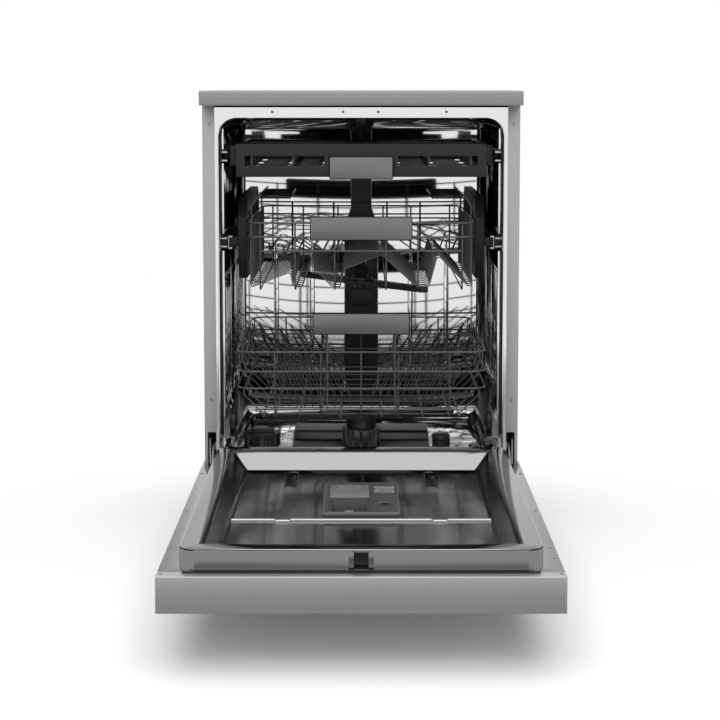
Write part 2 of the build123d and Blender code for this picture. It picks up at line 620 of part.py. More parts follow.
def lower_spray_arm():
    """Arm with two blades on a domed hub, free to turn on the sump's post."""
    hub = upright_cylinder(0, 0, (HUB_Z[0] + CONTACT_GAP, LOWER_ARM_Z[1]), HUB_R, FINE_SIDES)
    hub = chamfer(hub.edges().group_by(Axis.Z)[-1], 5)
    arm = hub + blade(LOWER_ARM_HALF, LOWER_ARM_Z, 46, 26, 1) + blade(LOWER_ARM_HALF, LOWER_ARM_Z, 46, 26, -1)
    arm -= upright_cylinder(0, 0, (0, HUB_Z[1] - 3 + CONTACT_GAP), POST_R + RUN_FIT, FINE_SIDES, hole=True)
    return Pos(0, SPRAY_Y, 0) * Rot(0, 0, LOWER_ARM_TURN) * arm


def salt_cap():
    """Screw cap of the salt container, with a fluted rim and a grip bar."""
    cap = knurl(SALT_CAP_R, SALT_TEETH, 4, SALT_CAP_Z, SALT_X, SALT_Y)
    cap += block((SALT_X - 24, SALT_X + 24), (SALT_Y - 4, SALT_Y + 4), (SALT_CAP_Z[1], SALT_CAP_Z[1] + 6))
    return cap - upright_cylinder(SALT_X, SALT_Y, (0, SALT_CAP_Z[1] - 4), SALT_NECK_R + CONTACT_GAP,
                                  FINE_SIDES, hole=True)


def softener_tank():
    """Salt and resin container beside the sump, with its filling neck through the tub floor."""
    tank = block((SALT_X - 55, SALT_X + 55), (SALT_Y - 65, SALT_Y + 65), (BASE_BOTTOM + BASE_WALL, BASE_TOP))
    tank = chamfer(tank.edges().filter_by(Axis.Z), 15)
    neck = upright_cylinder(SALT_X, SALT_Y, (BASE_TOP - 1, SALT_CAP_Z[1] - 6), SALT_NECK_R)
    return tank + neck


def level_float():
    """Flood float: a low cap on a stem that rises through the tub floor."""
    cap = upright_cylinder(*FLOAT_AT, (TUB_FLOOR + CONTACT_GAP, FLOAT_TOP), FLOAT_R, FINE_SIDES)
    cap = chamfer(cap.edges().group_by(Axis.Z)[-1], 4)
    return cap + upright_cylinder(*FLOAT_AT, (TUB_FLOOR - 45, TUB_FLOOR + 1), FLOAT_STEM_R, COARSE_SIDES)


COLLAR_Y = (BASE_BACK - 2 * BASE_WALL, BASE_BACK + CONTACT_GAP)


def circulation_pump():
    """Motor, volute and the suction spigot that meets the sump."""
    x, z = PUMP_AT
    motor = cylinder_along_y(x, PUMP_MOTOR[:2], z, PUMP_MOTOR[2], FINE_SIDES)
    volute = cylinder_along_y(x, PUMP_VOLUTE[:2], z, PUMP_VOLUTE[2], FINE_SIDES)
    spigot = cylinder_along_x((SUMP_R - 4, x), SPRAY_Y - 14, z, 12, COARSE_SIDES)
    ring = upright_cylinder(0, SPRAY_Y, (0, 200), SUMP_R)
    return motor + volute + (spigot - ring)


def drain_pump():
    """Small pump behind the sump and its hose spigot through the base's back wall."""
    x, z = DRAIN_AT
    body = cylinder_along_y(x, (SPRAY_Y + 100, BASE_BACK - BASE_WALL), z, DRAIN_BODY_R, FINE_SIDES)
    body += cylinder_along_y(x, COLLAR_Y, z, DRAIN_R + SPIGOT_COLLAR, FINE_SIDES)
    spigot = cylinder_along_y(x, (BASE_BACK - 2 * BASE_WALL, SPIGOT_END), z, DRAIN_R)
    duct = cylinder_along_x((x, -10), SPRAY_Y + 112, z, 10, COARSE_SIDES)
    elbow = cylinder_along_y(-20, (SPRAY_Y + 60, SPRAY_Y + 112), z, 10, COARSE_SIDES)
    return body + spigot + duct + elbow - upright_cylinder(0, SPRAY_Y, (0, 200), SUMP_R)


def inlet_valve():
    """Solenoid valve with the threaded water connection at the back."""
    x, z = INLET_AT
    body = block((x - 18, x + 18), (BASE_BACK - 60, BASE_BACK - BASE_WALL), (BASE_BOTTOM + BASE_WALL, z + 18))
    coil = upright_cylinder(x, BASE_BACK - 35, (z + 18, z + 30), 14, FINE_SIDES)
    coil += cylinder_along_y(x, COLLAR_Y, z, INLET_R + SPIGOT_COLLAR, FINE_SIDES)
    spigot = cylinder_along_y(x, (BASE_BACK - 2 * BASE_WALL, SPIGOT_END), z, INLET_R)
    bore = cylinder_along_y(x, (BASE_BACK - 10, SPIGOT_END + 1), z, 8, COARSE_SIDES, hole=True)
    return body + coil + spigot - bore


def power_inlet():
    """Cable gland of the mains lead in the base's back wall."""
    x, z = POWER_AT
    body = cylinder_along_y(x, (BASE_BACK - 20, BASE_BACK + 10), z, DRAIN_R + SPIGOT_COLLAR, COARSE_SIDES)
    box = block((x - 20, x + 20), (BASE_BACK - 55, BASE_BACK - BASE_WALL), (BASE_BOTTOM + BASE_WALL, z + 20))
    return body + box


def spray_column():
    """Water riser on the tub's back wall with its docking ports, and the ceiling spray head."""
    top = block((-COLUMN_HALF, COLUMN_HALF), (COLUMN_FRONT, TUB_BACK), (COLUMN_STEP_Z[1], TUB_TOP - 40))
    wide_outline = [(-COLUMN_HALF, COLUMN_STEP_Z[0]), (COLUMN_HALF, COLUMN_STEP_Z[0]),
                    (COLUMN_WIDE, COLUMN_STEP_Z[1]), (COLUMN_WIDE, TUB_FLOOR + 60),
                    (-COLUMN_WIDE, TUB_FLOOR + 60),
                    (-COLUMN_WIDE, COLUMN_STEP_Z[1])]
    wide = front_prism(make_face(Polyline(*wide_outline, close=True)), (COLUMN_FRONT, TUB_BACK))
    port_z = (PIPE_Z[0] + PIPE_Z[1]) / 2
    docks = block((-COLUMN_WIDE + 4, COLUMN_WIDE - 4), (DOCK_FRONT, COLUMN_FRONT), (port_z - 45, port_z + 45))
    docks += block((-COLUMN_HALF, COLUMN_HALF), (DOCK_FRONT, COLUMN_FRONT), (port_z - 100, port_z - 60))
    lead = block((-10, 10), (SPRAY_Y, TUB_BACK), (TUB_TOP - 12, TUB_TOP - 2))
    head = upright_cylinder(0, SPRAY_Y, (TUB_TOP - 22, TUB_TOP), 26, FINE_SIDES)
    neck = block((-COLUMN_HALF, COLUMN_HALF), (COLUMN_FRONT, TUB_BACK - 34), (TUB_TOP - 44, TUB_TOP - 2))
    rise = block((-10, 10), (TUB_BACK - 40, COLUMN_FRONT + 2), (TUB_TOP - 60, TUB_TOP - 2))
    limit = front_prism(front_shape(TUB_HALF, (TUB_FLOOR, TUB_TOP), TUB_TOP_RADIUS, TUB_FOOT_RADIUS),
                        (FLANGE_BACK + TUB_WALL, TUB_BACK))
    limit = chamfer(limit.faces().sort_by(Axis.Y)[-1].edges(), TUB_BACK_BEVEL)
    return (top + wide + docks + lead + head + neck + rise) & limit


def basket_ledge():
    """Right-hand ledge that the lower wheels run on, with a skirt."""
    y = LEDGE_Y
    top = PAN_RIM
    ledge = block((LEDGE_INNER, TUB_HALF), y, (top - LEDGE_T, top))
    return ledge + block((LEDGE_INNER, LEDGE_INNER + LEDGE_T), y, (top - LEDGE_SKIRT, top))


# ================= rails =================

RAIL_WEB_X = RAIL_INNER[1] + RAIL_GAP          # inner face of the middle member's web
RAIL_TONGUE_X = RAIL_WEB_X + RAIL_LIP
RAIL_TONGUE_HALF = RAIL_INNER[2] - 3
RAIL_OUTER_X = RAIL_TONGUE_X + RAIL_GAP


def rail_outer():
    """Right-hand fixed member: a channel on the tub wall that opens inwards."""
    half = RAIL_TONGUE_HALF + RAIL_GAP
    channel = block((RAIL_OUTER_X, TUB_HALF), RAIL_OUTER_Y,
                    (RAIL_Z - half - RAIL_LIP, RAIL_Z + half + RAIL_LIP))
    return channel - block((RAIL_OUTER_X - 1, TUB_HALF - 2), (0, TUB_BACK), (RAIL_Z - half, RAIL_Z + half))


def rail_middle():
    """Right-hand travelling member: a tongue in the outer channel and a channel of its own."""
    half = RAIL_INNER[2] + RAIL_GAP
    tongue = block((RAIL_WEB_X, TUB_HALF - 2 - RAIL_GAP), RAIL_MIDDLE_Y,
                   (RAIL_Z - RAIL_TONGUE_HALF, RAIL_Z + RAIL_TONGUE_HALF))
    web = block((RAIL_WEB_X, RAIL_TONGUE_X), RAIL_MIDDLE_Y,
                (RAIL_Z - half - RAIL_LIP, RAIL_Z + half + RAIL_LIP))
    lips_x = (RAIL_WEB_X - 6, RAIL_WEB_X)
    lips = block(lips_x, RAIL_MIDDLE_Y, (RAIL_Z + half, RAIL_Z + half + RAIL_LIP))
    lips += block(lips_x, RAIL_MIDDLE_Y, (RAIL_Z - half - RAIL_LIP, RAIL_Z - half))
    return tongue + web + lips


def height_adjuster():
    """Right-hand adjuster plate of the upper basket, with its catch and the rail's inner member."""
    low, high = ADJUSTER_Z
    y0, y1 = ADJUSTER_Y
    outline = [(y0, low + 40), (y0 + 20, low), (y1 - 60, low), (y1, low + 60), (y1, high - 30),
               (y1 - 30, high),
               (y0 + 40, high), (y0, high - 40)]
    plate = side_profile(outline, ADJUSTER_X)
    for n in range(3):
        window_y = y0 + 70 + n * 95
        plate -= block((ADJUSTER_X[0] - 1, ADJUSTER_X[1] - 5), (window_y, window_y + 60),
                       (low + 30, high - 30))
    rail = block(RAIL_INNER[:2], RAIL_INNER_Y, (RAIL_Z - RAIL_INNER[2], RAIL_Z + RAIL_INNER[2]))
    return plate + rail


def tray_rail():
    """Right-hand channel on the tub wall that carries the cutlery tray."""
    gap = RAIL_GAP
    z = (TONGUE_Z[0] - gap, TONGUE_Z[1] + gap)
    wall = TRAY_RAIL_WALL
    channel = block((TRAY_RAIL_X, TUB_HALF), RAIL_OUTER_Y, (z[0] - wall, z[1] + wall))
    return channel - block((TRAY_RAIL_X - 1, TUB_HALF - wall), (0, TUB_BACK), z)


# ================= door =================

def door_panel():
    """Outer sheet with its sides folded up and a heel fold, notched for the hinges."""
    x = (-DOOR_HALF, DOOR_HALF)
    y = (DOOR_TIP + CAP_DEPTH, DOOR_HEEL)
    top = DOOR_IN - SHEET
    panel = block(x, y, (DOOR_OUT, DOOR_OUT + SHEET))
    for side in both_sides(block((DOOR_HALF - SHEET, DOOR_HALF), y, (DOOR_OUT, top))):
        panel += side
    panel += block(x, (DOOR_HEEL - SHEET, DOOR_HEEL), (DOOR_OUT, top))
    for notch in both_sides(heel_notch()):
        panel -= notch
    return panel - heel_bevel()


def heel_notch():
    """Space at the door's heel that the hinge needs as the door turns."""
    return block((ARM_X[0] - 5, BRACKET_X[1] + 3), (PIVOT_Y - 17, DOOR_HEEL + 1), (DOOR_OUT + 6, PAN_RIM))


def heel_bevel():
    """Wedge off the inner heel edge, which clears the cabinet as the door turns."""
    b = HEEL_BEVEL
    outline = [(DOOR_HEEL - b, DOOR_IN + 1), (DOOR_HEEL + 1, DOOR_IN - b), (DOOR_HEEL + 1, DOOR_IN + 1)]
    return side_profile(outline, (-DOOR_HALF - 1, DOOR_HALF + 1))


def door_cap():
    """Rail along the door's upper edge, with a bevelled inner corner."""
    y0, y1 = DOOR_TIP, DOOR_TIP + CAP_DEPTH
    n = CAP_NOSE
    t = CAP_SHEET
    outline = [(y0, DOOR_OUT + 2), (y0 + 2, DOOR_OUT), (y1, DOOR_OUT), (y1, DOOR_IN), (y0 + n, DOOR_IN),
               (y0, DOOR_IN - n)]
    hollow = [(y0 + t, DOOR_OUT + t), (y1 + 1, DOOR_OUT + t), (y1 + 1, DOOR_IN - t),
              (y0 + n + t / 2, DOOR_IN - t),
              (y0 + t, DOOR_IN - n - t / 2)]
    rail = side_profile(outline, (-DOOR_HALF, DOOR_HALF))
    return rail - side_profile(hollow, (-DOOR_HALF + t, DOOR_HALF - t))


def pan_box(inset, z):
    """The raised pan's block, inset by a sheet thickness, with rounded corners and shoulder."""
    half = PAN_HALF - inset
    box = block((-half, half), (DOOR_TIP + CAP_DEPTH + inset, PAN_HEEL - inset), z)
    box = fillet(box.edges().filter_by(Axis.Z), PAN_CORNER - inset)
    return chamfer(box.faces().sort_by(Axis.Z)[-1].edges(), PAN_SHOULDER - inset)


def basin(outset):
    """The pan's sloping basin, grown by a sheet thickness."""
    top_half = PAN_HALF - PAN_BAND + outset
    low_half = top_half - PAN_SLOPE
    top_y = (DOOR_TIP + CAP_DEPTH + PAN_BAND - outset, PAN_HEEL - PAN_BAND + outset)
    low_y = (top_y[0] + PAN_SLOPE, top_y[1] - PAN_SLOPE)
    high, low = PAN_RIM + 0.01, PAN_FLOOR - outset
    upper = Pos(0, sum(top_y) / 2, high) * Rectangle(2 * top_half, top_y[1] - top_y[0])
    lower = Pos(0, sum(low_y) / 2, low) * Rectangle(2 * low_half, low_y[1] - low_y[0])
    return loft([upper, lower], ruled=True)


def door_liner():
    """Pressed stainless inner door: flange, raised pan and sloping basin, in one sheet."""
    t = SHEET
    sheet = pan_box(0, (DOOR_IN - t, PAN_RIM)) - (pan_box(t, (DOOR_IN - 2 * t, PAN_RIM - t)) - basin(t))
    sheet -= basin(0)
    flange = block((-DOOR_HALF, DOOR_HALF), (DOOR_TIP + CAP_DEPTH, DOOR_HEEL), (DOOR_IN - t, DOOR_IN))
    flange -= pan_box(t, (DOOR_IN - 2 * t, PAN_RIM))
    liner = sheet + flange - heel_bevel()
    for notch in both_sides(heel_notch()):
        liner -= notch
    window = block((-DISPENSER_X + 4 - CONTACT_GAP, DISPENSER_X - 4 + CONTACT_GAP),
                   (DISPENSER_Y[0] + 4 - CONTACT_GAP, DISPENSER_Y[1] - 4 + CONTACT_GAP),
                   (PAN_FLOOR - 2, PAN_FLOOR + 2))
    recess = block((-RECESS_X, RECESS_X), (DOOR_TIP + CAP_DEPTH - 1, DOOR_TIP + CAP_DEPTH + 3), RECESS_Z)
    return liner - window - recess


def hinge_arm():
    """Right-hand arm: a boss on the pivot pin, a strap into the door and a tail for the spring."""
    w = ARM_WIDTH / 2
    y, z = PIVOT_Y, PIVOT_Z
    tail_y, tail_z = y + ARM_TAIL[0], z + ARM_TAIL[1]
    strap = [(y + 8, z - w), (y + 14, z), (tail_y + 8, tail_z - 4), (tail_y, tail_z + 7),
             (tail_y - 8, tail_z + 4),
             (y - 2, z + w), (y - ARM_REACH, z + w), (y - ARM_REACH, z - w)]
    arm = side_profile(strap, ARM_X)
    return arm - cylinder_along_x((ARM_X[0] - 1, ARM_X[1] + 1), y, z, PIN_R + RUN_FIT)


def arm_mount():
    """Right-hand channel that joins the hinge arm to the door's outer sheet."""
    y = (PIVOT_Y - ARM_REACH, PIVOT_Y - 30)
    outer = block((ARM_X[1], DOOR_HALF - SHEET), y, (DOOR_OUT + SHEET, DOOR_IN - SHEET))
    return outer - block((ARM_X[1] + 3, DOOR_HALF), (y[0] - 1, y[1] + 1),
                         (DOOR_OUT + SHEET + 3, DOOR_IN - SHEET - 3))


def door_latch():
    """Catch box in the upper end of the pan, open towards the lock bolt."""
    y0 = DOOR_TIP + CAP_DEPTH + SHEET
    z = (RECESS_Z[0] - 4, PAN_RIM - SHEET - 0.2)
    half = RECESS_X + 4
    box = block((-half, half), (y0, y0 + 26), z) & pan_box(SHEET + 0.2, (DOOR_IN, PAN_RIM - SHEET - 0.2))
    box -= block((-RECESS_X, RECESS_X), (y0 - 1, y0 + 22), RECESS_Z)
    return box - basin(SHEET + 0.2)


def dispenser_body():
    """Detergent and rinse-aid housing let into the basin, with its open cup and lid track."""
    x = (-DISPENSER_X, DISPENSER_X)
    frame = block(x, DISPENSER_Y, (PAN_FLOOR, DISPENSER_TOP))
    frame = fillet(frame.edges().filter_by(Axis.Z), 8)
    frame = chamfer(frame.faces().sort_by(Axis.Z)[-1].edges(), 3)
    tub_x = (x[0] + 4, x[1] - 4)
    body = frame + block(tub_x, (DISPENSER_Y[0] + 4, DISPENSER_Y[1] - 4), (DISPENSER_BOTTOM, PAN_FLOOR))
    track_x = (CUP_X[0] - 4, CUP_X[1] + 4)
    track_y = (CUP_Y[0] - 4, CUP_Y[0] + LID_TRAVEL + CUP_Y[1] - CUP_Y[0] + 2)
    body -= block(track_x, track_y, (DISPENSER_TOP - LID_T - 1, DISPENSER_TOP + 1))
    body -= block(CUP_X, CUP_Y, (CUP_FLOOR, DISPENSER_TOP + 1))
    half = RINSE_SIDE / 2 + CONTACT_GAP
    body -= block((RINSE_AT[0] - half, RINSE_AT[0] + half), (RINSE_AT[1] - half, RINSE_AT[1] + half),
                  (DISPENSER_TOP - LID_T - CONTACT_GAP, DISPENSER_TOP + 1))
    half += RINSE_PIN_END
    groove_y = RINSE_AT[1] + RINSE_SIDE / 2
    reach = RINSE_PIN_R + CONTACT_GAP
    body -= block((RINSE_AT[0] - half, RINSE_AT[0] + half), (groove_y - reach, groove_y + reach),
                  (DISPENSER_TOP - reach, DISPENSER_TOP + 1))
    return body - upright_cylinder(*RINSE_AT, (DISPENSER_TOP - 20, DISPENSER_TOP), 11, FINE_SIDES)


def detergent_lid():
    """Sliding lid, drawn back clear of the cup, with a thumb rib."""
    x = (CUP_X[0] - 4 + CONTACT_GAP, CUP_X[1] + 4 - CONTACT_GAP)
    y = (CUP_Y[0] - 2 + LID_TRAVEL, CUP_Y[1] + LID_TRAVEL)
    seat = DISPENSER_TOP - LID_T - 1 + CONTACT_GAP
    lid = block(x, y, (seat, seat + LID_T))
    return lid + block((x[0] + 6, x[1] - 6), (y[0] + 4, y[0] + 9), (seat + LID_T, seat + LID_T + 4))


def rinse_aid_lid():
    """Square hinged lid of the rinse-aid filler."""
    half = RINSE_SIDE / 2
    x, y = RINSE_AT
    lid = block((x - half, x + half), (y - half, y + half), (DISPENSER_TOP - LID_T, DISPENSER_TOP))
    lid += cylinder_along_x((x - half - RINSE_PIN_END, x + half + RINSE_PIN_END), y + half, DISPENSER_TOP,
                            RINSE_PIN_R)
    return lid + block((x - 6, x + 6), (y - half + 2, y - half + 6), (DISPENSER_TOP, DISPENSER_TOP + 2))


def control_board():
    """Electronics case behind the door's upper rail."""
    y0 = DOOR_TIP + CAP_DEPTH
    case = block((-180, 180), (y0, y0 + 70), (DOOR_OUT + SHEET, DOOR_OUT + 26))
    return chamfer(case.edges().filter_by(Axis.Z), 8)


def door_lock():
    """Lock housing on the tub's top, with the well that the bolt moves in."""
    base = TUB_TOP + TUB_WALL
    y = (CHANNEL_BACK + TUB_WALL + 0.2, 56)
    housing = block((-34, 34), y, (base, base + 17))
    housing = chamfer(housing.edges().filter_by(Axis.Z), 5)
    gap = CONTACT_GAP
    well_y = (LOCK_Y[0] - gap, LOCK_Y[1] + gap)
    return housing - block((-LOCK_X - gap, LOCK_X + gap), well_y, (base - 1, base + 14))


def lock_bolt():
    """Bolt that drops into the door's catch box once the door is shut."""
    return chamfer(block((-LOCK_X, LOCK_X), LOCK_Y, (TUB_TOP, TUB_TOP + 13)).edges().group_by(Axis.Z)[0], 1)


# ================= lower basket =================

LOWER_LOOP_HALF = LOWER_HALF + (WIRE + RIM_WIRE) / 2
LOWER_LOOP_Y = (LOWER_Y[0] - (WIRE + RIM_WIRE) / 2, LOWER_Y[1] + (WIRE + RIM_WIRE) / 2)
FOLD_AXIS_Z = LOWER_FLOOR + WIRE / 2 + WIRE / 2 / math.cos(math.pi / WIRE_SIDES) + CONTACT_GAP


def lower_row_y(row):
    """Depth of one of the lower basket's cross wires."""
    return LOWER_ROW_START + row * LOWER_ROW_PITCH


def tine(x, y, z, height):
    """One plate tine that leans back."""
    lean = math.radians(TINE_LEAN)
    top = (x, y + height * math.sin(lean), z + height * math.cos(lean))
    return wire([(x, y, z), top], WIRE, ALONG, sides=TINE_SIDES)


def lower_basket_wires():
    """Welded wire of the lower basket: loops, cross wires, runners, uprights and fixed tines."""
    shoulder_x, shoulder_z = LOWER_SHOULDER
    wires = flat_loop(LOWER_LOOP_HALF, LOWER_LOOP_Y, LOWER_RIM, RIM_WIRE)
    for z in LOWER_LOOPS:
        wires += flat_loop(LOWER_LOOP_HALF, LOWER_LOOP_Y, z, RIM_WIRE)
    for y in LOWER_LOOP_Y:
        wires += wire([(-shoulder_x, y, LOWER_FRONT_BAR), (shoulder_x, y, LOWER_FRONT_BAR)], RIM_WIRE, LEVEL)
    for row in range(LOWER_ROWS):
        y = lower_row_y(row)
        bend = [(-LOWER_HALF, LOWER_RIM), (-LOWER_HALF, shoulder_z), (-shoulder_x, LOWER_FLOOR),
                (shoulder_x, LOWER_FLOOR), (LOWER_HALF, shoulder_z), (LOWER_HALF, LOWER_RIM)]
        wires += wire([(x, y, z) for x, z in bend], WIRE, ACROSS)
    low = LOWER_FLOOR - WIRE
    for x in LOWER_UPRIGHTS:
        bend = [(LOWER_Y[0], LOWER_RIM), (LOWER_Y[0], low), (LOWER_Y[1], low), (LOWER_Y[1], LOWER_RIM)]
        wires += wire([(x, y, z) for y, z in bend], WIRE, ALONG)
    for x in LOWER_RUNNERS:
        wires += wire([(x, LOWER_Y[0] + 8, low), (x, LOWER_Y[1] - 8, low)], WIRE, ALONG)
    for row in FIXED_TINE_ROWS:
        for x in TINE_X:
            for side in (-1, 1):
                wires += tine(side * x, lower_row_y(row), LOWER_FLOOR + TINE_SEAT, TINE_HEIGHT)
    return wires


def folding_tines(side):
    """A row of plate tines on a bar that folds flat towards the front."""
    y = lower_row_y(FOLD_ROW)
    first = TINE_X[0] + FOLD_TINE_OFFSET
    last = TINE_X[-1] + FOLD_TINE_OFFSET
    bar_x = sorted((side * (first - 8), side * (last + 8)))
    row = [cylinder_along_x(bar_x, y, FOLD_AXIS_Z, WIRE / 2)]
    for x in TINE_X:
        row += tine(side * (x + FOLD_TINE_OFFSET), y, FOLD_AXIS_Z + TINE_SEAT, TINE_HEIGHT - 6)
    return row


def handle_plate(half, z, y_back):
    """A flat grip with rounded corners, carried on the basket's front wires."""
    plate = Pos(0, (z[0] + z[1]) / 2) * Rectangle(2 * half, z[1] - z[0])
    plate = fillet(plate.vertices(), 4)
    return front_prism(plate, (y_back - HANDLE_T, y_back))


def lower_handle_posts():
    """Two front wires that rise past the rim to the grip."""
    y = LOWER_LOOP_Y[0] - (WIRE + RIM_WIRE) / 2
    posts = []
    for x in (-HANDLE_POST_X, HANDLE_POST_X):
        posts += wire([(x, y, LOWER_FRONT_BAR), (x, y, LOWER_HANDLE[2] - 4)], WIRE, ALONG)
    return posts


def lower_basket_handle():
    """Grip plate of the lower basket."""
    half, low, high = LOWER_HANDLE
    return handle_plate(half, (low, high), LOWER_LOOP_Y[0] - (WIRE + RIM_WIRE) / 2 - WIRE / 2)


AXLE_Z = PAN_RIM + CONTACT_GAP + WHEEL_R


def wheel_bracket(side, y):
    """Moulded bracket clipped to the basket's side, with its axle stub."""
    inner = LOWER_LOOP_HALF + RIM_WIRE / 2
    x = (inner, inner + 4)
    outline = [(y - 14, LOWER_LOOPS[1] + 14), (y - 14, AXLE_Z), (y - 8, AXLE_Z - 9), (y + 8, AXLE_Z - 9),
               (y + 14, AXLE_Z), (y + 14, LOWER_LOOPS[1] + 14)]
    bracket = side_profile(outline, x)
    bracket += cylinder_along_x((x[1] - 1, WHEEL_X[1] + 1), y, AXLE_Z, AXLE_R)
    return bracket if side > 0 else mirror(bracket, Plane.YZ)


def wheel(side, y):
    """Lower basket wheel on its axle stub."""
    tread = cylinder_along_x(WHEEL_X, y, AXLE_Z, WHEEL_R, FINE_SIDES)
    tread -= cylinder_along_x((WHEEL_X[0] - 1, WHEEL_X[1] + 1), y, AXLE_Z, AXLE_R + RUN_FIT, COARSE_SIDES,
                              hole=True)
    return tread if side > 0 else mirror(tread, Plane.YZ)


# ================= upper basket =================

UPPER_LOOP_HALF = UPPER_HALF + (WIRE + RIM_WIRE) / 2
UPPER_LOOP_Y = (UPPER_Y[0] - (WIRE + RIM_WIRE) / 2, UPPER_Y[1] + (WIRE + RIM_WIRE) / 2)


def upper_basket_wires():
    """Welded wire of the upper basket: loops, ridged floor wires, runners and shelf posts."""
    wires = flat_loop(UPPER_LOOP_HALF, UPPER_LOOP_Y, UPPER_RIM, RIM_WIRE)
    wires += flat_loop(UPPER_LOOP_HALF, UPPER_LOOP_Y, UPPER_LOOP, RIM_WIRE)
    bar_half = UPPER_UPRIGHTS[-1]
    wires += wire([(-bar_half, UPPER_LOOP_Y[0], UPPER_FRONT_BAR),
                   (bar_half, UPPER_LOOP_Y[0], UPPER_FRONT_BAR)],
                  RIM_WIRE, LEVEL)
    ridges = [(share * UPPER_HALF, UPPER_FLOOR + rise) for share, rise in UPPER_RIDGES]
    outline = [(-UPPER_HALF, UPPER_RIM), (-UPPER_HALF, UPPER_FLOOR), *ridges, (UPPER_HALF, UPPER_FLOOR),
               (UPPER_HALF, UPPER_RIM)]
    for row in range(UPPER_ROWS):
        y = UPPER_ROW_START + row * UPPER_ROW_PITCH
        wires += wire([(x, y, z) for x, z in outline], WIRE, ACROSS)
    low = UPPER_FLOOR - WIRE
    for x in UPPER_UPRIGHTS:
        bend = [(UPPER_Y[0], UPPER_RIM), (UPPER_Y[0], low), (UPPER_Y[1], low), (UPPER_Y[1], UPPER_RIM)]
        wires += wire([(x, y, z) for y, z in bend], WIRE, ALONG)
    return wires + shelf_posts()


def shelf_posts():
    """Bent side wires that carry the ends of the cup shelves' hinge bars."""
    posts = []
    for side in (-1, 1):
        for y in (SHELF_Y[0] - WIRE / 2, SHELF_Y[1] + WIRE / 2):
            bend = [(UPPER_HALF, UPPER_LOOP - 8), (UPPER_HALF, SHELF_Z - 14), (SHELF_X, SHELF_Z),
                    (SHELF_X - 6, SHELF_Z + 4)]
            posts += wire([(side * x, y, z) for x, z in bend], WIRE, ACROSS)
    return posts


def cup_shelf(side):
    """Fold-down cup shelf: a hinge bar, arms and an outer bar."""
    y0, y1 = SHELF_Y[0] + CONTACT_GAP, SHELF_Y[1] - CONTACT_GAP
    shelf = [cylinder_along_y(side * SHELF_X, (y0, y1), SHELF_Z, WIRE / 2)]
    inner = SHELF_X - SHELF_REACH
    shelf += wire([(side * inner, y0 + 20, SHELF_Z), (side * inner, y1 - 20, SHELF_Z)], WIRE, LEVEL)
    pitch = (y1 - y0 - 60) / (SHELF_ARMS - 1)
    for n in range(SHELF_ARMS):
        y = y0 + 30 + n * pitch
        shelf += wire([(side * (inner + WIRE / 2), y, SHELF_Z), (side * (SHELF_X - WIRE / 2), y, SHELF_Z)],
                      WIRE,
                      ACROSS)
    return shelf


def upper_basket_handle():
    """Grip plate of the upper basket."""
    half, low, high = UPPER_HANDLE
    return handle_plate(half, (low, high), UPPER_LOOP_Y[0] - RIM_WIRE / 2)


def upper_feed_pipe():
    """Pipe under the basket from the docking port to the hub, with the spindle and its nut."""
    z = PIPE_Z
    pipe = block((-PIPE_HALF, PIPE_HALF), (SPRAY_Y - 10, DOCK_FRONT - CONTACT_GAP), z)
    pipe = chamfer(pipe.edges().filter_by(Axis.Y).group_by(Axis.Z)[-1], 5)
    flange = upright_cylinder(0, SPRAY_Y, (UPPER_ARM_Z[1] + CONTACT_GAP, z[0] + 4), UPPER_HUB_R + 3,
                              FINE_SIDES)
    spindle = upright_cylinder(0, SPRAY_Y, (UPPER_ARM_Z[0] - CONTACT_GAP, z[0] + 1), POST_R, FINE_SIDES)
    nut = upright_cylinder(0, SPRAY_Y, (UPPER_ARM_Z[0] - 6, UPPER_ARM_Z[0] - CONTACT_GAP), POST_R + 6,
                           COARSE_SIDES)
    return [pipe + flange + spindle, nut]


def upper_spray_arm():
    """Slim arm that turns under the upper basket."""
    arm = upright_cylinder(0, 0, UPPER_ARM_Z, UPPER_HUB_R, FINE_SIDES)
    arm += blade(UPPER_ARM_HALF, UPPER_ARM_Z, 32, 20, 1) + blade(UPPER_ARM_HALF, UPPER_ARM_Z, 32, 20, -1)
    arm -= upright_cylinder(0, 0, (0, CABINET_HEIGHT), POST_R + RUN_FIT, FINE_SIDES, hole=True)
    return Pos(0, SPRAY_Y, 0) * Rot(0, 0, UPPER_ARM_TURN) * arm


# ================= cutlery tray =================

